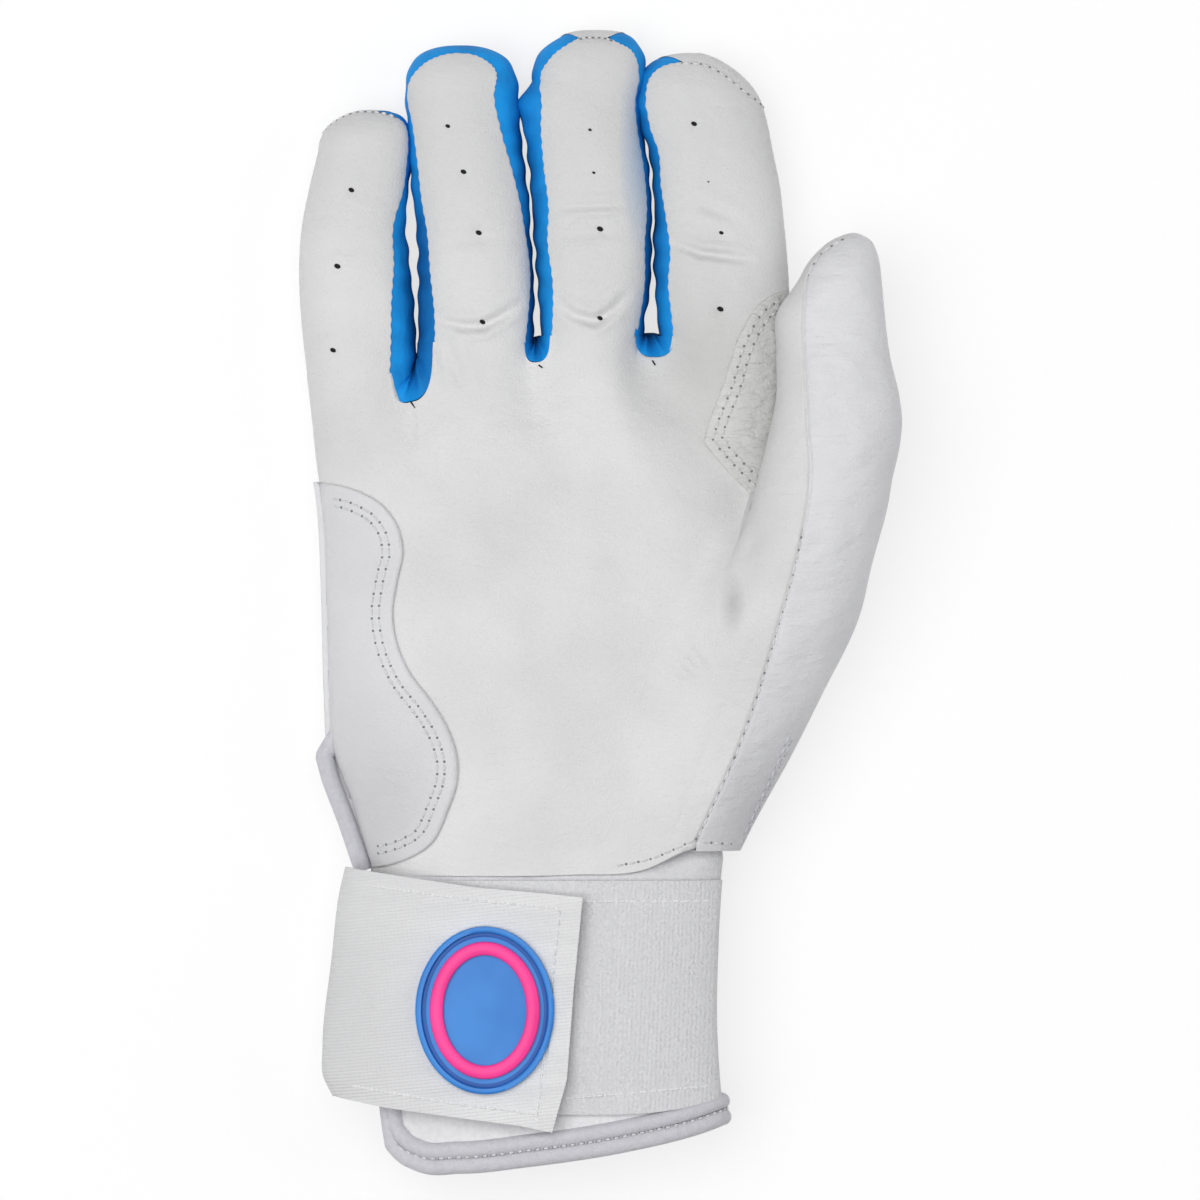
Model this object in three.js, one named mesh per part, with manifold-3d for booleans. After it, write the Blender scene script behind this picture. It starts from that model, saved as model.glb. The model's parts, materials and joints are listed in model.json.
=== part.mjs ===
// A batting glove for the right hand, lying on its back with the palm up.
// Millimetres: +X towards the thumb, +Y towards the fingertips, +Z up out of the palm.
// The origin is at the bottom centre of the glove's box.

import * as THREE from "three";
import { mergeVertices } from "three/addons/utils/BufferGeometryUtils.js";
import Module from "manifold-3d";

const wasm = await Module();
wasm.setup();

// Materials' thicknesses and clearances
const LEATHER = 1.0;
const GUSSET = 0.9;
const OVERLAY = 0.9;
const CUFF_FABRIC = 1.4;
const LOOP_TAPE = 1.4;
const HOOK_TAPE = 1.0;
const STRAP = 1.6;
const EMBLEM = 1.6;
const EMBLEM_RING = 0.9;
const SEAM_GAP = 0.3;
const THUMB_CLEARANCE = 0.5;

// Hand: stations along Y give the left and right outlines and the height of the palm
const WRIST_EDGE = -56;
const KNUCKLE_BLEND = 24;
const EQUATOR = 10.5;
const BACK_FLATTEN = 1.2;
const HAND_ROUND = 2.6;
const BACK_ROUND = 3.2;
const handLeft = profile([[-56, -48], [-45, -51.6], [-30, -56], [0, -57.6], [25, -59], [48, -62], [60, -62.4]]);
const handRight = profile([[-56, 28.2], [-48, 32], [-40, 34], [-30, 35.4], [0, 39], [25, 39.6], [48, 39.6], [60, 39.4]]);
const handTop = profile([[-56, 29], [-30, 29], [0, 27], [25, 24], [48, 21.6], [60, 21]]);

// Fingers: x and base place the knuckle line's middle, lean is the tilt towards the thumb in degrees.
// The seam angles run round the finger's outline from its left base over the tip to its right base:
// 0 is the middle of the palm side, 90 the side of the finger. The gusset's width is given the same way.
const FINGER_ROUND = 2.4;
const TIP_ROUND = 2.5;
const OUTLINE_SIDE = 0.4;
const TIP_REACH = 10;
const FINGER_BACK_LIFT = 0.5;
const FINGERS = [
  {
    name: "little", x: -51.6, base: 47.5, lean: 1.2, length: 55.6, halfWidths: [10.3, 11.1, 10],
    halfHeights: [10, 9.2, 8], frontSeam: [[0, 86], [0.34, 84], [0.5, 56], [0.64, 46], [0.8, 58], [1, 46]],
    gussetWidth: [[0, 0], [0.52, 0], [0.64, 70], [1, 82]], gussets: [null, "little_ring"],
  },
  {
    name: "ring", x: -26.6, base: 54, lean: -3.6, length: 62.6, halfWidths: [11.6, 11.7, 11.7],
    halfHeights: [10.4, 9.6, 8.4], frontSeam: [[0, 44], [0.2, 56], [0.36, 46], [0.5, 48], [0.64, 44], [0.8, 56], [1, 46]],
    gussetWidth: [[0, 82], [0.4, 80], [0.6, 80], [1, 82]], gussets: ["little_ring", "ring_middle"],
  },
  {
    name: "middle", x: -1.6, base: 55.5, lean: -0.2, length: 64.4, halfWidths: [11, 12, 11.2],
    halfHeights: [10.4, 9.6, 8.4], frontSeam: [[0, 46], [0.2, 56], [0.38, 48], [0.5, 58], [0.62, 48], [0.8, 60], [1, 50]],
    gussetWidth: [[0, 82], [0.34, 76], [0.46, 0], [0.54, 0], [0.66, 76], [1, 78]], gussets: ["ring_middle", "middle_index"],
  },
  {
    name: "index", x: 25.6, base: 55.5, lean: -4.4, length: 59.4, halfWidths: [13.3, 12.8, 11.6],
    halfHeights: [10.4, 9.6, 8.4], frontSeam: [[0, 50], [0.2, 58], [0.38, 48], [0.5, 58], [0.66, 82], [1, 86]],
    gussetWidth: [[0, 80], [0.34, 76], [0.46, 0], [1, 0]], gussets: ["middle_index", null],
  },
].map(prepareFinger);
const CROTCHES = [
  { name: "little_ring", left: FINGERS[0], right: FINGERS[1], bottom: 41.8 },
  { name: "ring_middle", left: FINGERS[1], right: FINGERS[2], bottom: 49.8 },
  { name: "middle_index", left: FINGERS[2], right: FINGERS[3], bottom: 50.8 },
].map(prepareCrotch);

// Thumb: stations along Y for its middle line and half sizes; it hinges on the crease at THUMB_BASE
const THUMB_START = -50;
const THUMB_BASE = 22;
const THUMB_HINGE_HEIGHT = 38;
const THUMB_DOME = 67;
const THUMB_TIP_REACH = 10;
const THUMB_ROUND = 2.2;
const thumbX = profile([[-50, 15], [-44, 18.4], [-32, 25], [-19, 31], [-4, 37], [8, 41.4], [22, 46.4], [37, 49.6], [56, 51], [68, 51.2]]);
const thumbZ = profile([[-50, 15], [-19, 17], [0, 21], [22, 25], [45, 25], [68, 23]]);
const thumbHalfWidth = profile([[-50, 9.5], [-44, 12.4], [-32, 14], [-4, 15], [22, 14.4], [37, 13.1], [56, 10.2], [68, 8.6]]);
const thumbHalfHeight = profile([[-50, 8], [-44, 9.4], [-19, 13], [0, 13.5], [22, 12.4], [45, 11], [68, 8.4]]);
const thumbSeam = profile([[-50, 78], [22, 102], [37, 122], [52, 150], [77, 172]]);
const THUMB_BACK_SEAM = -75;

// Cuff: a tube that is open along the little finger's side and closed by the strap
const CUFF_TOP = -50;
const CUFF_BOTTOM = -116;
const CUFF_SLANT = 4.4;
const CUFF_ROUND = 2.5;
const CUFF_MIDDLE = 16.9;
const CUFF_HALF_HEIGHT = 11.6;
const CUFF_TUCK = 10;
const TUCK_GAP = 0.7;
const CUFF_SLIT = [166, 196];
const cuffLeft = profile([[-116, -51.5], [-85, -48.5], [-56, -46.4], [-50, -46.4]]);
const cuffRight = profile([[-116, 24.6], [-85, 23.8], [-60, 24.6], [-50, 25.6]]);
const LOOP_SPAN = [1, 155];
const LOOP_END = 0.91;
const SLIT_TOP = -31;
const PIPING_RADIUS = 1.6;
const PIPING_SIDES = 4;

// Strap: its free end on the palm side as corners in plan, and its sewn end on the back
const STRAP_TOP = [[-64, -55.2], [-3.2, -61.1]];
const STRAP_BOTTOM = [[-64, -101.6], [-8.8, -111.9]];
const STRAP_FOLD = 181;
const STRAP_FOLD_GAP = 1.5;
const STRAP_SEWN_END = 262;
const STRAP_SEWN_MARGIN = 5;
const HOOK_SPAN = [-34, -10.5];
const HOOK_MARGIN = 4;
const EMBLEM_PLACE = [-24, -85.5];
const EMBLEM_HALF = [14.5, 17.5];
const EMBLEM_RING_HALF = [11.5, 14.3];
const EMBLEM_RING_WIDTH = 2.8;

const WHITE_LEATHER = leather(0xe4e4e4, 0.55);
const BLUE_FABRIC = leather(0x1f86e0, 0.6);
const CUFF_WHITE = leather(0xdcdce0, 0.9);
const STRAP_WHITE = leather(0xececec, 0.85);
const BLUE_RUBBER = leather(0x2f86dc, 0.45);
const PINK_RUBBER = leather(0xff4fa0, 0.45);

function leather(color, roughness) {
  return new THREE.MeshStandardMaterial({ color, roughness, metalness: 0 });
}

// A smooth curve through [place, value] stations, held level past its ends.
function profile(stations) {
  const last = stations.length - 1;
  const slope = (k) => {
    const [before, after] = [stations[Math.max(k - 1, 0)], stations[Math.min(k + 1, last)]];
    return (after[1] - before[1]) / (after[0] - before[0]);
  };
  return (place) => {
    if (place <= stations[0][0]) return stations[0][1];
    if (place >= stations[last][0]) return stations[last][1];
    const k = stations.findIndex((station) => station[0] > place) - 1;
    const [start, end] = [stations[k], stations[k + 1]];
    const step = end[0] - start[0];
    const t = (place - start[0]) / step;
    const bend = t * t * (3 - 2 * t);
    const leave = t * (1 - t) * (1 - t) * step * slope(k);
    const arrive = t * t * (t - 1) * step * slope(k + 1);
    return start[1] + (end[1] - start[1]) * bend + leave + arrive;
  };
}

function radians(degrees) {
  return THREE.MathUtils.degToRad(degrees);
}

// One coordinate of a superellipse: a sine or cosine raised to 2 / roundness, with its sign kept.
function rounded(wave, roundness) {
  return Math.sign(wave) * Math.abs(wave) ** (2 / roundness);
}

// Height of a superellipse of unit half axes at a share of its half width.
function arch(share, roundness) {
  return (1 - Math.min(1, Math.abs(share)) ** roundness) ** (1 / roundness);
}

function prepareFinger(finger) {
  const lean = radians(finger.lean);
  const straight = finger.length - TIP_REACH;
  const stretch = (values) => profile(values.map((value, k) => [(straight * k) / 2, value]));
  return {
    ...finger,
    straight,
    ahead: new THREE.Vector2(Math.sin(lean), Math.cos(lean)),
    aside: new THREE.Vector2(Math.cos(lean), -Math.sin(lean)),
    halfWidth: stretch(finger.halfWidths),
    halfHeight: stretch(finger.halfHeights),
    frontSeam: profile(finger.frontSeam),
    gussetWidth: profile(finger.gussetWidth),
  };
}

// A point of a finger's skin. outline runs 0 to 1 from the left base over the tip to the right base,
// angle is 0 at the middle of the palm side and 180 at the middle of the back.
function fingerPoint(finger, outline, angle, inset) {
  const along = Math.min(1, outline / OUTLINE_SIDE, (1 - outline) / OUTLINE_SIDE);
  const place = SEAM_GAP + (finger.straight - SEAM_GAP) * along;
  const turn = Math.PI * (1 - THREE.MathUtils.clamp((outline - OUTLINE_SIDE) / (1 - 2 * OUTLINE_SIDE), 0, 1));
  const out = rounded(Math.sin(radians(angle)), FINGER_ROUND);
  const across = out * rounded(Math.cos(turn), TIP_ROUND) * (finger.halfWidth(place) - inset);
  const ahead = place + out * rounded(Math.sin(turn), TIP_ROUND) * (TIP_REACH - inset);
  const up = rounded(Math.cos(radians(angle)), FINGER_ROUND) * (finger.halfHeight(place) - inset);
  return new THREE.Vector3(
    finger.x + finger.ahead.x * ahead + finger.aside.x * across,
    finger.base + finger.ahead.y * ahead + finger.aside.y * across,
    fingerMiddle(finger, place) + up,
  );
}

function fingerMiddle(finger, place) {
  return FINGER_BACK_LIFT + finger.halfHeight(place);
}

// The angle that leaves one seam gap on a finger's skin.
function seamAngle(finger) {
  return THREE.MathUtils.radToDeg(SEAM_GAP / finger.halfHeights[1]) * 1.2;
}

// The crotch between two fingers: its gap in plan lies between the two fingers' seams.
function prepareCrotch(crotch) {
  const start = fingerPoint(crotch.left, 1, crotch.left.frontSeam(1), 0).x;
  const end = fingerPoint(crotch.right, 0, crotch.right.frontSeam(0), 0).x;
  const radius = (end - start) / 2;
  return { ...crotch, start, end, radius, middle: crotch.bottom + radius };
}

// The knuckle line: how far up the hand the fingers part, at each place across it.
function knuckleLine(x) {
  return profile(FINGERS.map((finger) => [finger.x, finger.base]))(x);
}

// How far the hand's own oval has given way to the fingers' rounds, from 0 to 1.
function knuckleShare(x, y) {
  return THREE.MathUtils.smoothstep(y, knuckleLine(x) - KNUCKLE_BLEND, knuckleLine(x));
}

// Height of the fingers' rounds, carried on below the knuckles. Between two fingers the skin
// stays at the height of their gusset seams.
const FINGER_REACH = 1.15;
function fingerRound(x, y, inset, side) {
  const shares = FINGERS.map((finger) => {
    const across = (x - finger.x) * finger.aside.x + (y - finger.base) * finger.aside.y;
    return across / (finger.halfWidth(0) - inset);
  });
  const nearest = Math.min(...shares.map(Math.abs));
  const rounds = FINGERS.flatMap((finger, k) => {
    if (Math.abs(shares[k]) > Math.max(nearest, FINGER_REACH)) return [];
    const end = shares[k] < 0 ? 0 : 1;
    const seam = finger.gussets[end] ? rounded(Math.cos(radians(finger.frontSeam(end))), FINGER_ROUND) : 0;
    const height = (finger.halfHeight(0) - inset) * Math.max(arch(shares[k], FINGER_ROUND), seam);
    return [fingerMiddle(finger, 0) + side * height];
  });
  return side > 0 ? Math.max(...rounds) : Math.min(...rounds);
}

function handMiddle(y) {
  return (handLeft(y) + handRight(y)) / 2;
}

function handHalf(y, inset) {
  return (handRight(y) - handLeft(y)) / 2 - inset;
}

// Height of the hand's skin at a place in plan, on the palm side or the back. At the very rim both
// sides meet at the equator.
const RIM = 0.3;
function palmHeight(x, y, inset) {
  const rise = arch((x - handMiddle(y)) / handHalf(y, inset), HAND_ROUND);
  const oval = EQUATOR + (handTop(y) - EQUATOR - inset) * rise;
  const share = knuckleShare(x, y) * THREE.MathUtils.smoothstep(rise, 0, RIM);
  return THREE.MathUtils.lerp(oval, fingerRound(x, y, inset, 1), share);
}

function backHeight(x, y, inset) {
  const rise = arch((x - handMiddle(y)) / handHalf(y, inset), BACK_ROUND);
  const oval = EQUATOR - (EQUATOR + BACK_FLATTEN - inset) * rise;
  const share = knuckleShare(x, y) * THREE.MathUtils.smoothstep(rise, 0, RIM);
  return Math.max(inset, THREE.MathUtils.lerp(oval, fingerRound(x, y, inset, -1), share));
}

// A point of the hand's skin: angle 0 is the thumb's side, 90 the palm, 180 the little finger's side.
function handPoint(angle, y, inset) {
  const x = handMiddle(y) + handHalf(y, inset) * rounded(Math.cos(radians(angle)), HAND_ROUND);
  const height = Math.sin(radians(angle)) >= 0 ? palmHeight : backHeight;
  return new THREE.Vector3(x, y, height(x, y, inset));
}

// A point of the thumb's skin: angle 0 is its outer side, 90 the palm side. Past the dome's start
// the section closes over the tip.
function thumbPoint(angle, y, inset) {
  const lift = Math.max(0, (y - THUMB_DOME) / THUMB_TIP_REACH);
  const close = Math.sqrt(1 - lift * lift);
  const wide = (thumbHalfWidth(y) - inset) * close;
  const high = (thumbHalfHeight(y) - inset) * close;
  return new THREE.Vector3(
    thumbX(y) + wide * rounded(Math.cos(radians(angle)), THUMB_ROUND),
    y <= THUMB_DOME ? y : THUMB_DOME + lift * (THUMB_TIP_REACH - inset),
    thumbZ(y) + high * rounded(Math.sin(radians(angle)), THUMB_ROUND),
  );
}

// A point of the cuff's skin. share runs 0 to 1 from its top edge to its slanted bottom edge.
function cuffPoint(angle, share, inset) {
  const bottom = CUFF_BOTTOM + (CUFF_SLANT * (1 + Math.cos(radians(angle)))) / 2;
  return cuffSkin(angle, THREE.MathUtils.lerp(CUFF_TOP, bottom, share), inset);
}

// Under the palm's edge the cuff lies against the hand's inside, and it parts from there to its own oval.
function cuffSkin(angle, y, inset) {
  const parted = THREE.MathUtils.smoothstep(WRIST_EDGE - y, 0, CUFF_TUCK);
  return handPoint(angle, y, inset + LEATHER + TUCK_GAP).lerp(cuffOval(angle, y, inset), parted);
}

function cuffOval(angle, y, inset) {
  const half = (cuffRight(y) - cuffLeft(y)) / 2 - inset;
  const middle = (cuffRight(y) + cuffLeft(y)) / 2;
  return new THREE.Vector3(
    middle + half * rounded(Math.cos(radians(angle)), CUFF_ROUND),
    y,
    CUFF_MIDDLE + (CUFF_HALF_HEIGHT - inset) * rounded(Math.sin(radians(angle)), CUFF_ROUND),
  );
}

function range(count, start, end) {
  return Array.from({ length: count + 1 }, (_, k) => THREE.MathUtils.lerp(start, end, k / count));
}

// Triangles of a grid of vertex numbers, rows by columns.
function gridTriangles(rows, columns, number, triangles) {
  for (let row = 0; row < rows; row += 1) {
    for (let column = 0; column < columns; column += 1) {
      const corners = [number(row, column), number(row, column + 1), number(row + 1, column + 1), number(row + 1, column)];
      triangles.push(corners[0], corners[1], corners[2], corners[0], corners[2], corners[3]);
    }
  }
}

// A closed solid from points and triangles: equal points are merged, flat triangles are dropped,
// and the faces are turned outwards.
function closedSolid(points, triangles) {
  const loose = new THREE.BufferGeometry();
  loose.setAttribute("position", new THREE.Float32BufferAttribute(points.flatMap((p) => [p.x, p.y, p.z]), 3));
  loose.setIndex(triangles);
  const merged = mergeVertices(loose, 1e-3);
  const index = merged.index.array;
  const kept = [];
  for (let k = 0; k < index.length; k += 3) {
    const [a, b, c] = [index[k], index[k + 1], index[k + 2]];
    if (a !== b && b !== c && a !== c) kept.push(a, b, c);
  }
  const build = (corners) =>
    new wasm.Manifold(
      new wasm.Mesh({
        numProp: 3,
        vertProperties: new Float32Array(merged.attributes.position.array),
        triVerts: new Uint32Array(corners),
      }),
    );
  const solid = build(kept);
  if (solid.volume() > 0) return solid;
  const turned = [];
  for (let k = 0; k < kept.length; k += 3) turned.push(kept[k], kept[k + 2], kept[k + 1]);
  return build(turned);
}

// A thin sheet between two faces of one skin. skin(row, column, inset) gives its points, and
// joined says which of its edges (first column, last column) meet themselves and need no wall.
function sheet(rows, columns, skin, outer, inner, joined = []) {
  const across = columns.length;
  const face = rows.length * across;
  const points = [outer, inner].flatMap((inset) =>
    rows.flatMap((row) => columns.map((column) => skin(row, column, inset))),
  );
  const at = (layer) => (row, column) => layer * face + row * across + column;
  const [top, under] = [at(0), at(1)];
  const triangles = [];
  const [lastRow, lastColumn] = [rows.length - 1, across - 1];
  gridTriangles(lastRow, lastColumn, top, triangles);
  gridTriangles(lastRow, lastColumn, (row, column) => under(row, lastColumn - column), triangles);
  gridTriangles(1, lastColumn, (k, column) => at(1 - k)(0, column), triangles);
  gridTriangles(1, lastColumn, (k, column) => at(k)(lastRow, column), triangles);
  if (!joined.includes("first")) gridTriangles(1, lastRow, (k, row) => at(k)(row, 0), triangles);
  if (!joined.includes("last")) gridTriangles(1, lastRow, (k, row) => at(1 - k)(row, lastColumn), triangles);
  return closedSolid(points, triangles);
}

// A closed solid of a skin's whole section, capped at both ends.
function solidTube(stations, sides, skin, inset) {
  const points = stations.flatMap((place) => range(sides, 0, 360).map((angle) => skin(angle, place, inset)));
  const triangles = [];
  const number = (row, column) => row * (sides + 1) + column;
  gridTriangles(stations.length - 1, sides, number, triangles);
  const last = stations.length - 1;
  [0, last].forEach((row) => {
    const middle = points.length;
    const centre = new THREE.Vector3();
    for (let k = 0; k < sides; k += 1) centre.add(points[number(row, k)]);
    points.push(centre.divideScalar(sides));
    for (let k = 0; k < sides; k += 1) {
      const [here, next] = [number(row, k), number(row, k + 1)];
      triangles.push(...(row === 0 ? [middle, next, here] : [middle, here, next]));
    }
  });
  return closedSolid(points, triangles);
}

// An upright prism over an outline in plan.
const PRISM_LOW = -20;
const PRISM_HIGH = 80;
function prism(shape, curveSegments = 12) {
  const geometry = new THREE.ExtrudeGeometry(shape, {
    depth: PRISM_HIGH - PRISM_LOW,
    bevelEnabled: false,
    curveSegments,
  });
  geometry.translate(0, 0, PRISM_LOW);
  return fromGeometry(geometry);
}

function fromGeometry(geometry) {
  const bare = geometry.index ? geometry.toNonIndexed() : geometry.clone();
  const position = bare.getAttribute("position");
  const points = Array.from({ length: position.count }, (_, k) => new THREE.Vector3().fromBufferAttribute(position, k));
  return closedSolid(points, points.map((_, k) => k));
}

// The largest body of a cut solid: the crumbs that a cut leaves at a seam are waste.
function largest(solid) {
  return solid.decompose().reduce((best, body) => (body.volume() > best.volume() ? body : best));
}

function node(name, solid, material) {
  const cut = solid.getMesh();
  const geometry = new THREE.BufferGeometry();
  geometry.setAttribute("position", new THREE.Float32BufferAttribute(cut.vertProperties, cut.numProp));
  geometry.setIndex(new THREE.Uint32BufferAttribute(cut.triVerts, 1));
  geometry.computeVertexNormals();
  const mesh = new THREE.Mesh(geometry, material);
  mesh.name = name;
  return mesh;
}

// Fingers: a front and a back of leather, with gusset legs between them
const FINGER_STEPS = [0, 0.07, 0.16, 0.26, 0.34, 0.4, 0.43, 0.465, 0.5, 0.535, 0.57, 0.6, 0.66, 0.74, 0.84, 0.93, 1];
const GUSSET_STEPS = 3;
const NARROWEST_GUSSET = 9;

function fingerPanel(finger, side) {
  const gap = seamAngle(finger);
  const skin = (outline, share, inset) => {
    const seam = finger.frontSeam(outline);
    const backSeam = seam + 2 * gap + Math.max(0, finger.gussetWidth(outline));
    const angle = side === "front" ? seam * share : 180 - (180 - backSeam) * share;
    return fingerPoint(finger, outline, angle, inset);
  };
  return sheet(FINGER_STEPS, range(4, 0, 1), skin, 0, LEATHER, ["first"]);
}

// The outline places where a gusset leg lies, out to where it has run to a point or meets its neighbour.
function gussetSteps(finger, side) {
  const reach = finger.gussets.every(Boolean) && finger.gussetWidth(0.5) > NARROWEST_GUSSET ? 0.498 : 0.5;
  const onSide = (outline) => (side === 0 ? outline < reach : outline > 1 - reach);
  const steps = FINGER_STEPS.filter((outline) => onSide(outline) && finger.gussetWidth(outline) > NARROWEST_GUSSET);
  if (reach === 0.5) return steps;
  return side === 0 ? [...steps, reach] : [1 - reach, ...steps];
}

function gussetLeg(finger, side) {
  const gap = seamAngle(finger);
  const skin = (outline, share, inset) => {
    const start = finger.frontSeam(outline) + gap;
    return fingerPoint(finger, outline, start + finger.gussetWidth(outline) * share, inset);
  };
  return sheet(gussetSteps(finger, side), range(GUSSET_STEPS, 0, 1), skin, 0, GUSSET);
}

// The gusset's fold at a crotch: from the left finger's side down, round the fold and up the right finger's.
const FOLD_LEG = 0.25;
const FOLD_STEPS = [0, 0.25, 0.34, 0.42, 0.5, 0.58, 0.66, 0.75, 1];
const FOLD_DEPTH = [0.16, 0.84];
function crotchFold(crotch) {
  const skin = (path, depth, inset) => {
    const share = THREE.MathUtils.lerp(...FOLD_DEPTH, depth);
    const [a, b] = [foldEdge(crotch.left, 1, share, inset), foldEdge(crotch.right, 0, share, inset)];
    const half = (b.x - a.x) / 2;
    const height = THREE.MathUtils.lerp(a.z, b.z, path);
    if (path <= FOLD_LEG) return new THREE.Vector3(a.x, foldLegY(a, crotch, path / FOLD_LEG), height);
    if (path >= 1 - FOLD_LEG) return new THREE.Vector3(b.x, foldLegY(b, crotch, (1 - path) / FOLD_LEG), height);
    const turn = (Math.PI * (path - FOLD_LEG)) / (1 - 2 * FOLD_LEG);
    return new THREE.Vector3(
      (a.x + b.x) / 2 - half * Math.cos(turn),
      crotch.middle - half * Math.sin(turn),
      height,
    );
  };
  return sheet(FOLD_STEPS, range(GUSSET_STEPS, 0, 1), skin, 0, GUSSET);
}

function foldEdge(finger, outline, share, inset) {
  const angle = finger.frontSeam(outline) + seamAngle(finger) + finger.gussetWidth(outline) * share;
  return fingerPoint(finger, outline, angle, inset);
}

function foldLegY(edge, crotch, share) {
  return THREE.MathUtils.lerp(edge.y - 2 * SEAM_GAP, crotch.middle, share);
}

// The hand's outline in plan: knuckle lines across the fingers' bases, with a notch at each crotch
const FAR = 90;
function handOutline() {
  const shape = new THREE.Shape();
  const knuckle = (finger, x) => finger.base - SEAM_GAP - ((x - finger.x) * finger.aside.y) / -finger.aside.x;
  shape.moveTo(-FAR, WRIST_EDGE);
  shape.lineTo(FAR, WRIST_EDGE);
  shape.lineTo(FAR, knuckle(FINGERS[3], FAR));
  [...CROTCHES].reverse().forEach((crotch) => {
    shape.lineTo(crotch.end, knuckle(crotch.right, crotch.end));
    shape.lineTo(crotch.end, crotch.middle);
    shape.absarc((crotch.start + crotch.end) / 2, crotch.middle, crotch.radius, 0, Math.PI, true);
    shape.lineTo(crotch.start, knuckle(crotch.left, crotch.start));
  });
  shape.lineTo(-FAR, knuckle(FINGERS[0], -FAR));
  return shape;
}

const ROW_MARGIN = 3;
const HAND_STEPS = [0, 0.1, 0.22, 0.36, 0.5, 0.615, 0.71, 0.785, 0.84, 0.88, 0.92, 0.96, 1];
const HAND_END = Math.max(...FINGERS.map((finger) => finger.base)) + ROW_MARGIN / 2;
const HAND_ROWS = HAND_STEPS.map((step) => THREE.MathUtils.lerp(WRIST_EDGE - ROW_MARGIN, HAND_END, step));
const EDGE_ANGLE = 0.15;
const HAND_COLUMNS = 30;
const THUMB_SIDES = 24;
const THUMB_TIP_STEPS = [0, 0.4, 0.7, 0.9, 0.98];
const thumbLower = range(5, THUMB_START, THUMB_BASE);
const thumbUpper = [
  ...range(4, THUMB_BASE, THUMB_DOME).slice(0, -1),
  ...THUMB_TIP_STEPS.map((step) => THUMB_DOME + THUMB_TIP_REACH * step),
];

// The room that the thumb needs: its tube at rest and part turned on its hinge.
const THUMB_TURNS = [9, 18, 27, 36];
function thumbRoom() {
  const atRest = solidTube([...thumbLower, ...thumbUpper.slice(1)], THUMB_SIDES, thumbPoint, -THUMB_CLEARANCE);
  const hinge = new THREE.Vector3(0, THUMB_BASE, THUMB_HINGE_HEIGHT);
  const across = new THREE.Vector3(1, 0, 0);
  return THUMB_TURNS.reduce((room, turn) => {
    const turned = (angle, y, inset) =>
      thumbPoint(angle, y, inset).sub(hinge).applyAxisAngle(across, radians(turn)).add(hinge);
    return room.add(solidTube(thumbUpper, THUMB_SIDES, turned, -THUMB_CLEARANCE));
  }, atRest);
}
const thumbCutter = thumbRoom();
const handInside = solidTube(HAND_ROWS, 60, handPoint, LEATHER);
const outlinePrism = prism(handOutline());

// The slit on the little finger's side, from the wrist up to its top: a wedge out of both panels.
const SLIT_HALF = 3.4;
const SLIT_POINT = 0.1;
function slitWedge() {
  const shape = new THREE.Shape();
  shape.moveTo(WRIST_EDGE - SEAM_GAP, EQUATOR - SLIT_HALF);
  shape.lineTo(SLIT_TOP, EQUATOR - SLIT_POINT);
  shape.lineTo(SLIT_TOP, EQUATOR + SLIT_POINT);
  shape.lineTo(WRIST_EDGE - SEAM_GAP, EQUATOR + SLIT_HALF);
  const geometry = new THREE.ExtrudeGeometry(shape, { depth: FAR, bevelEnabled: false });
  const turned = new THREE.Matrix4().makeBasis(
    new THREE.Vector3(0, 1, 0), new THREE.Vector3(0, 0, 1), new THREE.Vector3(1, 0, 0),
  );
  geometry.applyMatrix4(turned);
  geometry.translate(handMiddle(SLIT_TOP) - FAR, 0, 0);
  return fromGeometry(geometry);
}

function handPanel(side) {
  const angles = side === "palm" ? [180 - EDGE_ANGLE, EDGE_ANGLE] : [180 + EDGE_ANGLE, 360 - EDGE_ANGLE];
  const skin = (y, angle, inset) => handPoint(angle, y, inset);
  const whole = sheet(HAND_ROWS, range(HAND_COLUMNS, ...angles), skin, 0, LEATHER);
  return largest(whole.intersect(outlinePrism).subtract(thumbCutter).subtract(slitWedge()));
}

// Overlays: patches of leather sewn on the palm, cut to an outline in plan
const OVERLAY_COLUMNS = 14;
const OVERLAY_CURVE = 3;
const OVERLAY_LIFT = 0.45;
function overlay(shape, rows, angles) {
  const skin = (y, angle, inset) => handPoint(angle, y, inset);
  const whole = sheet(rows, range(OVERLAY_COLUMNS, ...angles), skin, -OVERLAY_LIFT - OVERLAY, -OVERLAY_LIFT);
  return whole.intersect(prism(shape, OVERLAY_CURVE));
}

const HEEL_TOP = 25.2;
const HEEL_BOTTOM = WRIST_EDGE + 2 * SEAM_GAP;
const HEEL_ANGLES = [178, 84];
const HEEL_CURVE = [
  [-56, 24.4], [-47.5, 21.2], [-42, 14], [-42, 4], [-43.2, -3], [-41.5, -11],
  [-35.6, -20.4], [-30.6, -30], [-30.4, -40], [-36, -51], [-46, HEEL_BOTTOM],
];
function heelOverlay() {
  const shape = new THREE.Shape();
  shape.moveTo(-FAR, HEEL_TOP);
  shape.lineTo(...HEEL_CURVE[0]);
  shape.splineThru(HEEL_CURVE.slice(1).map((p) => new THREE.Vector2(...p)));
  shape.lineTo(-FAR, HEEL_BOTTOM);
  const rows = range(9, HEEL_TOP + ROW_MARGIN, HEEL_BOTTOM - ROW_MARGIN);
  return largest(overlay(shape, rows, HEEL_ANGLES).subtract(slitWedge()));
}

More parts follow.
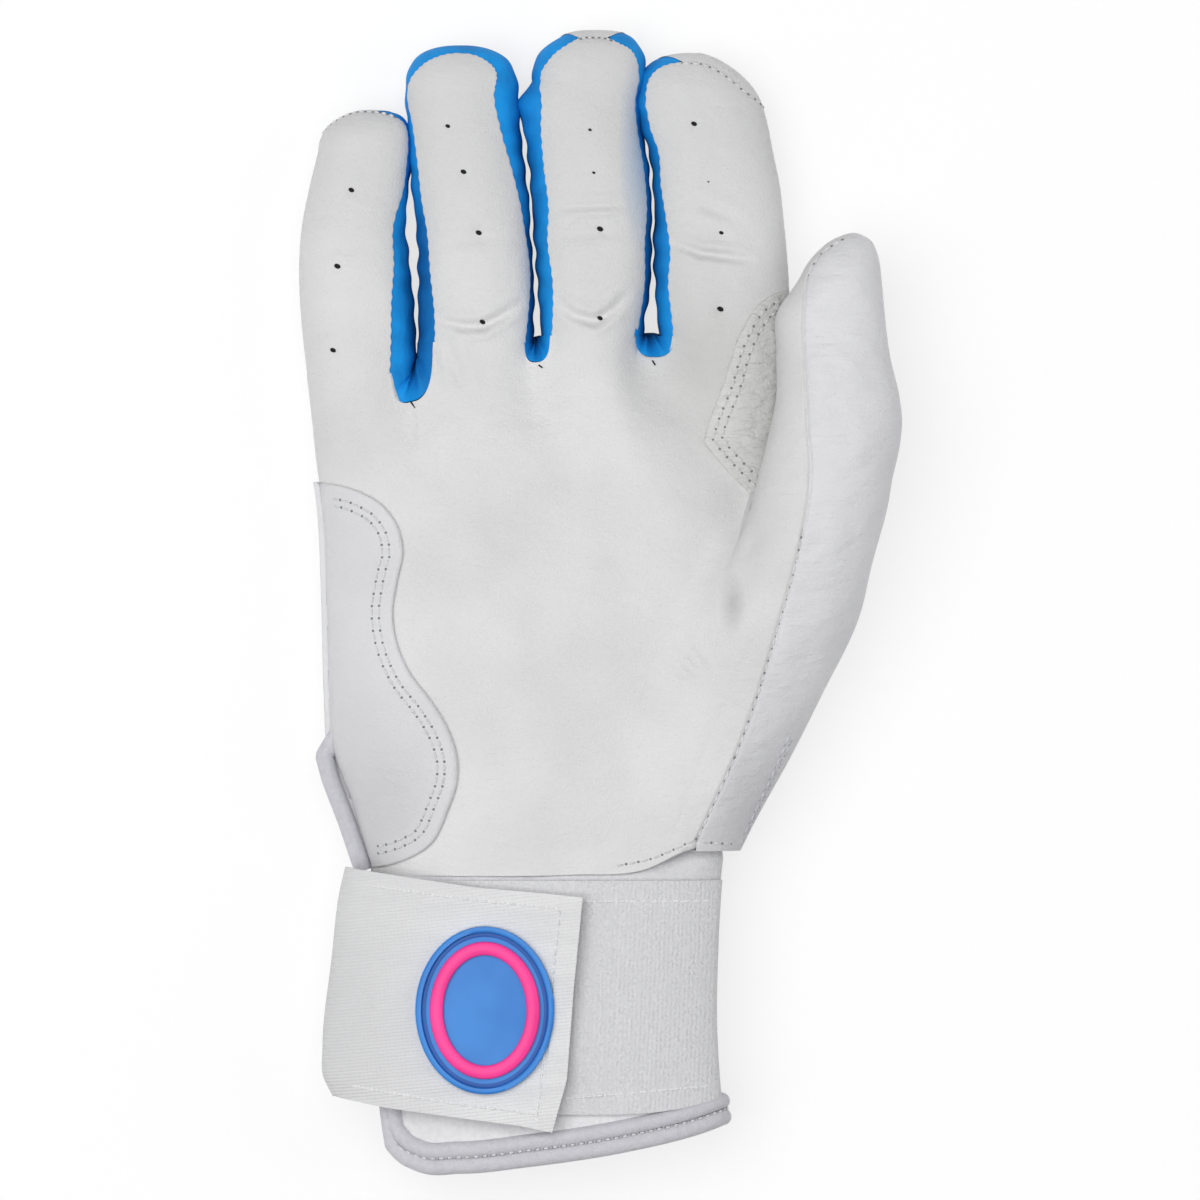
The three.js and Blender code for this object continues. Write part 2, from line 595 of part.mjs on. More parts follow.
const WEB_TOP = 65.2;
const WEB_BOTTOM = 20;
const WEB_ANGLES = [2, 76];
const WEB_CURVE = [[33.4, 62.4], [29.6, 56.6], [26.4, 47], [23, 38], [21.5, 33]];
function webOutline() {
  const shape = new THREE.Shape();
  shape.moveTo(FAR, WEB_TOP);
  shape.lineTo(38.2, WEB_TOP);
  shape.splineThru(WEB_CURVE.map((p) => new THREE.Vector2(...p)));
  shape.lineTo(33, WEB_BOTTOM);
  shape.lineTo(FAR, WEB_BOTTOM);
  return shape;
}

function webOverlay() {
  const whole = overlay(webOutline(), range(6, WEB_BOTTOM - ROW_MARGIN, HAND_END), WEB_ANGLES);
  return largest(whole.intersect(outlinePrism).subtract(thumbCutter));
}

// The part of the web overlay that lies on the index finger, above the knuckle line.
const WEB_TIP_STEPS = [1, 0.97, 0.94, 0.9, 0.86];
function webOverlayTip(finger) {
  const skin = (outline, angle, inset) => fingerPoint(finger, outline, angle, inset);
  const whole = sheet(WEB_TIP_STEPS, range(8, finger.frontSeam(1), 0), skin, -SEAM_GAP - OVERLAY, -SEAM_GAP);
  return largest(whole.intersect(prism(webOutline(), OVERLAY_CURVE)));
}

// Thumb
function thumbPanel(places, angles) {
  const skin = (y, share, inset) => {
    const [start, end] = angles(y);
    return thumbPoint(THREE.MathUtils.lerp(start, end, share), y, inset);
  };
  return sheet(places, range(10, 0, 1), skin, 0, LEATHER);
}

const THUMB_EDGE_GAP = 1.2;
const thumbPlaces = [THUMB_BASE + SEAM_GAP, ...thumbUpper.slice(1)];
const thumbOuter = thumbPanel(thumbPlaces, (y) => [THUMB_BACK_SEAM, thumbSeam(y) - THUMB_EDGE_GAP]);
const THUMB_INNER_END = THUMB_BACK_SEAM + 360 - 2 * THUMB_EDGE_GAP;
const thumbInner = thumbPanel(thumbPlaces, (y) => [thumbSeam(y) + THUMB_EDGE_GAP, THUMB_INNER_END]);

function thumbBase() {
  const between = thumbLower.slice(1, -1);
  const outside = solidTube([THUMB_START, ...between, THUMB_BASE - SEAM_GAP], THUMB_SIDES, thumbPoint, 0);
  const ends = [THUMB_START - LEATHER, THUMB_BASE + LEATHER];
  const inside = solidTube([ends[0], ...between, ends[1]], THUMB_SIDES, thumbPoint, LEATHER);
  return largest(outside.subtract(inside).subtract(handInside));
}

// Cuff
const cuffRows = [0, 0.09, 0.165, 0.24, 0.5, 0.75, 1];
const CUFF_STEP = 11;
function cuffTube() {
  const skin = (share, angle, inset) => cuffPoint(angle, share, inset);
  const columns = Math.round((CUFF_SLIT[0] + 360 - CUFF_SLIT[1]) / CUFF_STEP);
  return sheet(cuffRows, range(columns, CUFF_SLIT[1], CUFF_SLIT[0] + 360), skin, 0, CUFF_FABRIC);
}

// Tapes and the strap follow the cuff's skin, each one a named stand-off above the last.
const LOOP_INNER = SEAM_GAP;
const LOOP_OUTER = LOOP_INNER + LOOP_TAPE;
const HOOK_INNER = LOOP_OUTER + SEAM_GAP;
const HOOK_OUTER = HOOK_INNER + HOOK_TAPE;
const STRAP_INNER = HOOK_OUTER + SEAM_GAP;
const STRAP_OUTER = STRAP_INNER + STRAP;
const EMBLEM_INNER = STRAP_OUTER + SEAM_GAP;
const EMBLEM_OUTER = EMBLEM_INNER + EMBLEM;
const RING_INNER = EMBLEM_OUTER + SEAM_GAP;
const RING_OUTER = RING_INNER + EMBLEM_RING;

function cuffLayer(rows, angles, columns, outer, inner) {
  const skin = (y, angle, inset) => cuffOval(angle, y, inset);
  return sheet(rows, range(columns, ...angles), skin, -outer, -inner);
}

function loopPanel() {
  const skin = (share, angle, inset) => cuffPoint(angle, share, inset);
  const rows = [...cuffRows.slice(2, -1), LOOP_END];
  const columns = Math.round((LOOP_SPAN[1] - LOOP_SPAN[0]) / CUFF_STEP);
  return sheet(rows, range(columns, ...LOOP_SPAN), skin, -LOOP_OUTER, -LOOP_INNER);
}

function lineAt([start, end], x) {
  return start[1] + ((end[1] - start[1]) * (x - start[0])) / (end[0] - start[0]);
}

function strapOutline(margin, left, right) {
  const shape = new THREE.Shape();
  shape.moveTo(left, lineAt(STRAP_TOP, left) - margin);
  shape.lineTo(right(STRAP_TOP[1]), lineAt(STRAP_TOP, right(STRAP_TOP[1])) - margin);
  shape.lineTo(right(STRAP_BOTTOM[1]), lineAt(STRAP_BOTTOM, right(STRAP_BOTTOM[1])) + margin);
  shape.lineTo(left, lineAt(STRAP_BOTTOM, left) + margin);
  return prism(shape);
}

const STRAP_FACE = [150, 50];
const strapRows = range(4, STRAP_TOP[0][1] + ROW_MARGIN, STRAP_BOTTOM[1][1] - ROW_MARGIN);
function strapTab() {
  const whole = cuffLayer(strapRows, [STRAP_FOLD - STRAP_FOLD_GAP, STRAP_FACE[1]], 20, STRAP_OUTER, STRAP_INNER);
  return whole.intersect(strapOutline(0, -FAR, (corner) => corner[0]));
}

function strapAnchor() {
  const whole = cuffLayer(strapRows, [STRAP_FOLD, STRAP_SEWN_END], 12, STRAP_OUTER, STRAP_INNER);
  return whole.intersect(strapOutline(STRAP_SEWN_MARGIN, -FAR, () => FAR));
}

function hookPatch() {
  const whole = cuffLayer(strapRows, STRAP_FACE, 12, HOOK_OUTER, HOOK_INNER);
  return whole.intersect(strapOutline(HOOK_MARGIN, HOOK_SPAN[0], () => HOOK_SPAN[1]));
}

function ellipse([wide, high]) {
  const shape = new THREE.Shape();
  shape.absellipse(...EMBLEM_PLACE, wide, high, 0, 2 * Math.PI);
  return shape;
}

const emblemTop = EMBLEM_PLACE[1] + EMBLEM_HALF[1] + ROW_MARGIN;
const emblemBottom = EMBLEM_PLACE[1] - EMBLEM_HALF[1] - ROW_MARGIN;
const emblemRows = range(4, emblemTop, emblemBottom);
function emblem() {
  const whole = cuffLayer(emblemRows, STRAP_FACE, 10, EMBLEM_OUTER, EMBLEM_INNER);
  return whole.intersect(prism(ellipse(EMBLEM_HALF)));
}

function emblemRing() {
  const shape = ellipse(EMBLEM_RING_HALF);
  shape.holes.push(ellipse(EMBLEM_RING_HALF.map((half) => half - EMBLEM_RING_WIDTH)));
  return cuffLayer(emblemRows, STRAP_FACE, 10, RING_OUTER, RING_INNER).intersect(prism(shape));
}

// Piping: a round roll of leather along an edge
const HEM_GAP = 8;
function piping(points, steps) {
  const section = new THREE.Shape();
  section.absarc(0, 0, PIPING_RADIUS, 0, 2 * Math.PI);
  const geometry = new THREE.ExtrudeGeometry(section, {
    steps,
    curveSegments: PIPING_SIDES,
    extrudePath: new THREE.CatmullRomCurve3(points),
  });
  return fromGeometry(geometry);
}

function hemPiping() {
  const drop = new THREE.Vector3(0, -PIPING_RADIUS - SEAM_GAP, 0);
  const middle = CUFF_FABRIC / 2;
  const angles = range(26, CUFF_SLIT[1], CUFF_SLIT[0] + 360 - HEM_GAP);
  const round = angles.map((angle) => cuffPoint(angle, 1, middle).add(drop));
  return piping(round, 36);
}

function slitPiping() {
  const lift = EQUATOR - SLIT_HALF;
  const points = range(4, SLIT_TOP - PIPING_RADIUS, WRIST_EDGE + PIPING_RADIUS).map((y) => {
    const share = (SLIT_TOP - y) / (SLIT_TOP - WRIST_EDGE);
    return new THREE.Vector3(handLeft(y) - PIPING_RADIUS - 2 * SEAM_GAP, y, EQUATOR - (EQUATOR - lift) * share);
  });
  return piping(points, 8);
}

const glove = new THREE.Group();
glove.add(
  node("palm_panel", handPanel("palm"), WHITE_LEATHER),
  node("back_panel", handPanel("back"), WHITE_LEATHER),
  node("palm_heel_overlay", heelOverlay(), WHITE_LEATHER),
  node("thumb_web_overlay", webOverlay(), WHITE_LEATHER),
  node("thumb_base_panel", thumbBase(), WHITE_LEATHER),
  node("cuff_tube", cuffTube(), CUFF_WHITE),
  node("cuff_loop_panel", loopPanel(), CUFF_WHITE),
  node("cuff_hem_piping", hemPiping(), CUFF_WHITE),
  node("slit_piping", slitPiping(), CUFF_WHITE),
  node("strap_sewn_end", strapAnchor(), STRAP_WHITE),
);
CROTCHES.forEach((crotch) => glove.add(node(`gusset_fold_${crotch.name}`, crotchFold(crotch), BLUE_FABRIC)));
FINGERS.forEach((finger) => {
  const group = new THREE.Group();
  group.add(
    node(`${finger.name}_finger_front`, fingerPanel(finger, "front"), WHITE_LEATHER),
    node(`${finger.name}_finger_back`, fingerPanel(finger, "back"), WHITE_LEATHER),
  );
  finger.gussets.forEach((gusset, side) => {
    if (gusset) group.add(node(`${finger.name}_gusset_${side ? "right" : "left"}`, gussetLeg(finger, side), BLUE_FABRIC));
  });
  glove.add(group);
});
glove.add(node("index_web_overlay", webOverlayTip(FINGERS[3]), WHITE_LEATHER));

const thumb = new THREE.Group();
thumb.add(node("thumb_outer_panel", thumbOuter, WHITE_LEATHER), node("thumb_inner_panel", thumbInner, WHITE_LEATHER));

const strap = new THREE.Group();
strap.add(
  node("strap_tab", strapTab(), STRAP_WHITE),
  node("hook_patch", hookPatch(), STRAP_WHITE),
  node("emblem_base", emblem(), BLUE_RUBBER),
  node("emblem_ring", emblemRing(), PINK_RUBBER),
);
glove.add(thumb, strap);

export default glove;
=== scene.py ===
"""Looks of a batting glove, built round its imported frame.

Shapes are worked out in millimetres in the frame's own axes: +X towards the thumb, +Y towards the
fingertips, +Z up out of the palm. A mesh is scaled to metres when it is made.
"""

import json
import math

import bmesh
import bpy
import numpy as np
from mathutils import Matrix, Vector


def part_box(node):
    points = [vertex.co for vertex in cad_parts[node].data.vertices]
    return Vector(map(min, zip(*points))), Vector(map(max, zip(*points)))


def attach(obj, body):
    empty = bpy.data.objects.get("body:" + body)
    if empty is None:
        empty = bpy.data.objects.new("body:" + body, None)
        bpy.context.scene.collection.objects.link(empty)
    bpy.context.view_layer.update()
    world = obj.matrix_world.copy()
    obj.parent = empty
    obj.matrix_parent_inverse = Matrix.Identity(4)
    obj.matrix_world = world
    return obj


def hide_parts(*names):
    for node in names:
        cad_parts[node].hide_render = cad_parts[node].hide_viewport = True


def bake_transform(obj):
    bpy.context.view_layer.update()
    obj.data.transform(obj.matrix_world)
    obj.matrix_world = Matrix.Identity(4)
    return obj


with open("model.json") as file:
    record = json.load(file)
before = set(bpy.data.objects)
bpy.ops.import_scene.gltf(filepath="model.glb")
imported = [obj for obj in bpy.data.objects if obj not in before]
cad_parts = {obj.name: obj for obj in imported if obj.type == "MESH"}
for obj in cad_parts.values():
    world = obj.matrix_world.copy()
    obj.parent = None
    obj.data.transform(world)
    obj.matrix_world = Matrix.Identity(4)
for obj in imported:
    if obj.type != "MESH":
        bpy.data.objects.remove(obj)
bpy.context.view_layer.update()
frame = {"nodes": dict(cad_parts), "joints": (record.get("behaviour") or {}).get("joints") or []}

MM = 0.001

# Thicknesses of leather, fabric and trim, and how far each stands off what it lies on
LEATHER = 1.0
FRONT_LIFT = 0.35
OVERLAY_LIFT = 0.4
OVERLAY = 0.9
LOOP_LIFT = 0.3
LOOP_TAPE = 1.4
HOOK_LIFT = 2.0
HOOK_TAPE = 1.5
STRAP_LIFT = 3.3
STRAP = 1.6
STRAP_FACE = STRAP_LIFT + STRAP


# Curves and simple functions
def smoothstep(value, start, end):
    share = np.clip((value - start) / (end - start), 0, 1)
    return share * share * (3 - 2 * share)


def lerp(start, end, share):
    return start + (end - start) * share


def bent(wave, power):
    """One coordinate of a superellipse: a sine or cosine with its sign kept."""
    return np.sign(wave) * np.abs(wave) ** (2 / power)


def arch(share, power):
    """Height of a superellipse of unit half axes at a share of its half width."""
    return (1 - np.minimum(1, np.abs(share)) ** power) ** (1 / power)


def hump(away, width):
    """A soft bump, 1 at its middle and almost 0 at twice its width."""
    return np.exp(-((away / width) ** 2))


def soft_max(a, b, width):
    near = np.maximum(width - np.abs(a - b), 0) / width
    return np.maximum(a, b) + near * near * width / 4


def steps(count):
    """Even steps from 0 to 1."""
    return np.linspace(0, 1, count)


def eased(count, share):
    """Steps from 0 to 1, closer together at the start by the given share."""
    even = steps(count)
    return lerp(even, 1 - np.cos(even * np.pi / 2), share)


def unit(vectors):
    return vectors / np.linalg.norm(vectors, axis=-1, keepdims=True)


def lengths(line):
    """How far along a line each of its points lies."""
    return np.concatenate([[0], np.cumsum(np.linalg.norm(np.diff(line, axis=0), axis=1))])


def between(stations, place):
    """Value at a place on the straight runs between (place, value) stations."""
    return np.interp(place, *np.array(stations).T)


def curve(stations):
    """A smooth curve through (place, value) stations, level past its ends."""
    places, values = np.array(list(stations), float).T
    slopes = np.gradient(values, places)

    def at(place):
        place = np.clip(place, places[0], places[-1])
        k = np.clip(np.searchsorted(places, place, side="right") - 1, 0, len(places) - 2)
        step = places[k + 1] - places[k]
        t = (place - places[k]) / step
        bend = t * t * (3 - 2 * t)
        leave = t * (1 - t) ** 2 * step * slopes[k]
        arrive = t * t * (t - 1) * step * slopes[k + 1]
        return values[k] + (values[k + 1] - values[k]) * bend + leave + arrive

    return at


LEAST_POINTS = 3


def path(points, step, smooth=True):
    """Points of a line in plan, spaced evenly at about the given step."""
    points = np.array(points, float)
    along = lengths(points)
    fine = np.linspace(0, along[-1], max(LEAST_POINTS, int(along[-1] / step) + 1))
    if smooth:
        return np.stack([curve(zip(along, axis))(fine) for axis in points.T], 1)
    return np.stack([np.interp(fine, along, axis) for axis in points.T], 1)


def offset(line, distance):
    """A line in plan moved to its left by a distance."""
    ahead = unit(np.gradient(line, axis=0))
    return line + distance * np.stack([-ahead[:, 1], ahead[:, 0]], 1)


def line_distance(points, x, y):
    """Distance of places in plan from a polyline, and how far along it the nearest point lies, 0 to 1."""
    points = np.array(points, float)
    nearest = np.full(np.shape(x), np.inf)
    along = np.zeros(np.shape(x))
    count = len(points) - 1
    for k in range(count):
        run = points[k + 1] - points[k]
        t = np.clip(((x - points[k, 0]) * run[0] + (y - points[k, 1]) * run[1]) / (run @ run), 0, 1)
        away = np.hypot(x - points[k, 0] - t * run[0], y - points[k, 1] - t * run[1])
        closer = away < nearest
        nearest = np.where(closer, away, nearest)
        along = np.where(closer, (k + t) / count, along)
    return nearest, along


WAVES = 7
WAVE_SPREAD = 0.13


def lumps(x, y, size, seed):
    """Soft uneven swelling, about -1 to 1, from a few waves in seeded directions."""
    waves = np.random.default_rng(seed).uniform(0, 2 * np.pi, (WAVES, 2))
    total = sum(
        np.sin(2 * np.pi * (x * np.cos(turn) + y * np.sin(turn)) / (size * (1 + WAVE_SPREAD * k)) + start)
        for k, (turn, start) in enumerate(waves)
    )
    return total / math.sqrt(WAVES)


def swelling(x, y, swells):
    """Lumps of several (height, size, seed) on top of each other."""
    return sum(height * lumps(x, y, size, seed) for height, size, seed in swells)


# Meshes: points within the weld distance are joined and thinner faces dropped, both in metres
WELD = 2e-6
SLIVER = 1e-7
SHARP = math.radians(60)


def grid_faces(rows, columns, first=0):
    corner = (np.arange(rows - 1)[:, None] * columns + np.arange(columns - 1)).ravel() + first
    return np.stack([corner, corner + 1, corner + columns + 1, corner + columns], 1)


def mesh_object(name, points, faces, *looks, face_looks=None):
    """A clean smooth-shaded mesh from points in millimetres."""
    mesh = bpy.data.meshes.new(name)
    mesh.from_pydata((np.asarray(points) * MM).tolist(), [], [list(map(int, face)) for face in faces])
    for look in looks:
        mesh.materials.append(look.material)
    if face_looks is not None:
        mesh.polygons.foreach_set("material_index", np.asarray(face_looks, np.int32))
    tidy = bmesh.new()
    tidy.from_mesh(mesh)
    bmesh.ops.remove_doubles(tidy, verts=tidy.verts, dist=WELD)
    bmesh.ops.dissolve_degenerate(tidy, edges=tidy.edges, dist=SLIVER)
    bmesh.ops.recalc_face_normals(tidy, faces=tidy.faces)
    tidy.to_mesh(mesh)
    tidy.free()
    mesh.polygons.foreach_set("use_smooth", np.ones(len(mesh.polygons), bool))
    mesh.set_sharp_from_angle(angle=SHARP)
    piece = bpy.data.objects.new(name, mesh)
    bpy.context.collection.objects.link(piece)
    return piece


def sheet(name, grid, look):
    """One face through a grid of points."""
    rows, columns = grid.shape[:2]
    return mesh_object(name, grid.reshape(-1, 3), grid_faces(rows, columns), look)


def shell(name, outer, inner, look):
    """A closed sheet between two grids of points."""
    rows, columns = outer.shape[:2]
    count = rows * columns
    numbers = np.arange(count).reshape(rows, columns)
    edge = np.concatenate([numbers[0], numbers[1:, -1], numbers[-1, -2::-1], numbers[-2:0:-1, 0]])
    after = np.roll(edge, -1)
    rim = np.stack([edge, after, after + count, edge + count], 1)
    faces = np.concatenate([grid_faces(rows, columns), grid_faces(rows, columns, count)[:, ::-1], rim])
    return mesh_object(name, np.concatenate([outer.reshape(-1, 3), inner.reshape(-1, 3)]), faces, look)


# Looks: each is one material, with layers of colour and of relief made by patterns in space
SPECULAR = 0.3

# Scale of the wave pattern that makes its ribs as wide as asked for
RIB_SCALE = 0.314


class Look:
    def __init__(self, name, color, roughness, sheen=0.0):
        self.material = bpy.data.materials.new(name)
        self.material.use_nodes = True
        self.nodes = self.material.node_tree.nodes
        self.links = self.material.node_tree.links
        self.shader = self.nodes["Principled BSDF"]
        self.color = (*color, 1.0)
        self.shader.inputs["Base Color"].default_value = self.color
        self.shader.inputs["Roughness"].default_value = roughness
        self.shader.inputs["Specular IOR Level"].default_value = SPECULAR
        self.shader.inputs["Sheen Weight"].default_value = sheen
        self.place = self.node("TexCoord").outputs["Object"]
        self.normal = None

    def node(self, kind, vector=None, **inputs):
        """A new shader node, with its vector linked and its other inputs set."""
        node = self.nodes.new(f"ShaderNode{kind}")
        if vector is not None:
            self.links.new(vector, node.inputs["Vector"])
        for name, value in inputs.items():
            node.inputs[name.replace("_", " ")].default_value = value
        return node

    def stretched(self, stretch, turn):
        spin = (0, 0, math.radians(turn))
        return self.node("Mapping", self.place, Scale=stretch, Rotation=spin).outputs["Vector"]

    def noise(self, size, detail=3.0, stretch=(1, 1, 1), turn=0):
        """Clouds of a size in millimetres."""
        place = self.stretched(stretch, turn)
        return self.node("TexNoise", place, Scale=1 / (size * MM), Detail=detail).outputs["Fac"]

    def cells(self, size):
        """The leather's grain."""
        texture = self.node("TexVoronoi", self.place, Scale=1 / (size * MM))
        texture.feature = "DISTANCE_TO_EDGE"
        return texture.outputs["Distance"]

    def ribs(self, size, turn, wobble=1.0):
        """Threads of a width in millimetres, turned by degrees."""
        texture = self.node(
            "TexWave", self.stretched((1, 1, 1), turn), Scale=1 / (size * MM) * RIB_SCALE,
            Distortion=wobble, Detail=1.0, Detail_Scale=2.0,
        )
        return texture.outputs["Fac"]

    def distance(self, place, stretch):
        """Distance in metres from a place in millimetres, with each axis stretched."""
        start = [-MM * at * wide for at, wide in zip(place, stretch)]
        mapping = self.node("Mapping", self.place, Location=start, Scale=stretch)
        length = self.node("VectorMath")
        length.operation = "LENGTH"
        self.links.new(mapping.outputs["Vector"], length.inputs[0])
        return length.outputs["Value"]

    def tint(self, pattern, color, start, end):
        """Turns the colour towards another where the pattern is low."""
        ramp = self.node("MapRange", From_Min=start, From_Max=end)
        mix = self.node("Mix")
        mix.data_type = "RGBA"
        mix.inputs["A"].default_value = (*color, 1.0)
        mix.inputs["B"].default_value = self.color
        self.links.new(pattern, ramp.inputs["Value"])
        self.links.new(ramp.outputs["Result"], mix.inputs["Factor"])
        base = self.shader.inputs["Base Color"]
        if base.is_linked:
            self.links.new(base.links[0].from_socket, mix.inputs["B"])
        self.links.new(mix.outputs["Result"], base)
        return self

    def shade(self, spots):
        """Turns the colour towards another round each spot: fully when near, and no longer when far."""
        for place, stretch, color, near, far in spots:
            self.tint(self.distance(place, stretch), color, near * MM, far * MM)
        return self

    def relief(self, pattern, depth, strength=1.0):
        """Adds bumps of a depth in millimetres."""
        bump = self.node("Bump", Distance=depth * MM, Strength=strength)
        self.links.new(pattern, bump.inputs["Height"])
        if self.normal is not None:
            self.links.new(self.normal, bump.inputs["Normal"])
        self.normal = bump.outputs["Normal"]
        self.links.new(self.normal, self.shader.inputs["Normal"])
        return self


# Shaded spots: place, stretch of each axis, colour, and the reach of the full shade and of its end.
# Painted shade lies deep in the notches between the fingers, between the thumb and the index finger,
# in a dimple, at the strap's fold and low on the thumb's base; a painted blue reflection and shade lies
# on the middle finger's right edge. The leather is also darker towards the fingertips and round a spot
# low on the heel patch.
NOTCH_MIDDLES = [(-33.5, 60, 13), (-14.2, 70, 9), (10.5, 72, 9)]
NOTCH_SHADES = [(place, (1, 0.2, 1), (0.001, 0.05, 0.21), 2, 10) for place in NOTCH_MIDDLES]
# Painted shade between the thumb and the index finger, and in a dimple; the leather darker towards the
# fingertips
PALM_SHADES = [
    ((21, 50, 0), (1.5, 0.8, 0), (0.55, 0.55, 0.545), 2, 28),
    ((27.5, -0.6, 0), (1.4, 0.6, 0), (0.53, 0.53, 0.535), 0.3, 4.2),
    ((-10, 115, 0), (0.4, 1, 0), (0.635, 0.635, 0.64), 20, 62),
]
PAINTED_BLUE_REFLECTION = [((9.6, 95, 0), (1, 0.25, 0), (0.30, 0.42, 0.60), 0.3, 6)]
FOLD_SHADES = [((-52, -86, 0), (1, 0.5, 0), (0.66, 0.66, 0.67), 3, 26)]
HEEL_SHADES = [((-44, -42, 0), (1, 0.6, 0), (0.60, 0.60, 0.615), 3, 16)]
ROOT_SHADES = [((30, -42, 0), (1, 0.6, 0), (0.59, 0.59, 0.61), 3, 22)]


def leather(name, color, shade, wrinkle):
    look = Look(name, color, 0.55, sheen=0.08)
    look.tint(look.noise(26, 2.0), shade, 0.3, 0.62)
    look.relief(look.noise(5.5, 4.0, (1, 1.6, 1), 20), wrinkle)
    look.relief(look.cells(0.8), 0.16, 0.8)
    look.relief(look.noise(0.35, 2.0), 0.08, 0.8)
    return look


def wrinkled(look, depth):
    """Adds fine wrinkles across the hand to a leather."""
    return look.relief(look.noise(1.7, 2.0, (0.22, 1.2, 1), -8), depth)


def stretch_fabric():
    """The gussets' blue fabric, with painted shade deep in the notches between the fingers."""
    look = Look("gusset_blue", (0.004, 0.31, 0.80), 0.7)
    look.tint(look.noise(6, 3.0), (0.004, 0.24, 0.65), 0.3, 0.6)
    look.shade(NOTCH_SHADES)
    look.relief(look.noise(3.0, 3.0, (1, 0.5, 1)), 0.35)
    look.relief(look.noise(0.3, 2.0), 0.06, 0.7)
    return look


def pile():
    """Loop tape, with its nap in soft streaks."""
    look = Look("loop_tape", (0.71, 0.71, 0.725), 0.95, sheen=0.15)
    look.tint(look.noise(0.6, 4.0), (0.60, 0.60, 0.615), 0.34, 0.56)
    look.tint(look.noise(2.2, 2.0, (4, 0.25, 1)), (0.66, 0.66, 0.675), 0.35, 0.6)
    look.relief(look.noise(0.6, 5.0), 0.3)
    look.relief(look.ribs(0.9, 2, 2.0), 0.05)
    return look


def woven():
    """The strap's elastic, with painted shade at its fold round the glove's side."""
    look = Look("strap_elastic", (0.775, 0.775, 0.78), 0.85, sheen=0.05)
    look.tint(look.noise(9, 3.0, (0.3, 2, 1)), (0.71, 0.71, 0.72), 0.3, 0.65)
    look.relief(look.ribs(0.7, 84, 1.0), 0.09)
    look.relief(look.ribs(0.9, -7, 0.6), 0.03)
    look.relief(look.noise(0.4, 3.0), 0.1, 0.7)
    return look.shade(FOLD_SHADES)


def knit(name, color, shade):
    look = Look(name, color, 0.9, sheen=0.15)
    look.tint(look.noise(1.2, 3.0), shade, 0.3, 0.6)
    look.relief(look.noise(0.6, 3.0, (2, 1, 1)), 0.2)
    return look


def rubber(name, color, shade):
    look = Look(name, color, 0.42)
    look.tint(look.noise(12, 2.0), shade, 0.3, 0.6)
    look.relief(look.noise(0.5, 2.0), 0.02, 0.6)
    return look


def painted_shade_leather(name):
    """The palm side's leather, with painted shade between the thumb and the index finger and in a dimple,
    and darker towards the fingertips.
    """
    return leather(name, (0.71, 0.71, 0.712), (0.65, 0.65, 0.649), 0.4).shade(PALM_SHADES)


PALM_WHITE = painted_shade_leather("palm_leather")
# The middle finger's leather has a painted blue reflection and shade along its right edge
MIDDLE_WHITE = painted_shade_leather("middle_leather").shade(PAINTED_BLUE_REFLECTION)
BACK_WHITE = leather("back_leather", (0.71, 0.71, 0.715), (0.66, 0.66, 0.665), 0.4)
OVERLAY_WHITE = leather("overlay_leather", (0.695, 0.695, 0.71), (0.64, 0.64, 0.655), 0.35)
OVERLAY_WHITE.shade(HEEL_SHADES)
WEB_GREY = wrinkled(leather("web_leather", (0.645, 0.645, 0.63), (0.58, 0.58, 0.565), 0.8), 0.8)
THUMB_WHITE = wrinkled(leather("thumb_leather", (0.725, 0.725, 0.745), (0.67, 0.67, 0.69), 0.45), 0.25)
# Painted shade low on the thumb's base
THUMB_WHITE.shade(ROOT_SHADES)
GUSSET_BLUE = stretch_fabric()
CUFF_GREY = knit("cuff_fabric", (0.68, 0.68, 0.695), (0.62, 0.62, 0.635))
LOOP_PILE = pile()
STRAP_WEAVE = woven()
BAND_WHITE = knit("cuff_band", (0.76, 0.76, 0.775), (0.70, 0.70, 0.715))
HOOK_WHITE = knit("hook_tape", (0.74, 0.74, 0.74), (0.62, 0.62, 0.62))
PIPING = knit("piping", (0.60, 0.597, 0.64), (0.55, 0.547, 0.59))
WHITE_THREAD = knit("white_thread", (0.84, 0.84, 0.84), (0.76, 0.76, 0.76))
EMBLEM_BLUE = rubber("emblem_blue", (0.04, 0.24, 0.68), (0.032, 0.20, 0.60))
EMBLEM_EDGE = rubber("emblem_edge", (0.012, 0.10, 0.40), (0.010, 0.08, 0.33))
EMBLEM_PINK = rubber("emblem_pink", (1.0, 0.055, 0.33), (0.9, 0.045, 0.29))
THREAD = knit("thread", (0.70, 0.70, 0.71), (0.6, 0.6, 0.61))
# The needle pits' dark colours are painted shade of the needle holes
PIT = Look("needle_pit", (0.22, 0.22, 0.23), 0.9)
HEM_PIT = Look("hem_needle_pit", (0.42, 0.42, 0.45), 0.9)
HOLE = Look("hole_shadow", (0.012, 0.012, 0.014), 0.9)


# Fingers. rows: place along Y, outer left, seam left, seam right and outer right edge.
# powers: how square the left and right halves of the tip are.
# seam: how far out the front leather's seam lies over the tip, from left to right.
# gusset: width of the blue gusset, in degrees round the finger, along the outline from left to right.
# holes: place in plan and size of each air hole.
# SECTION says how square a finger's section is, and SIDE how much of its outline runs up one side.
SECTION = 2.4
BACK_LIFT = 0.5
SIDE = 0.4
SEAM_LIMIT = 0.995
HALF_HEIGHTS = (10.4, 9.6, 8.4)


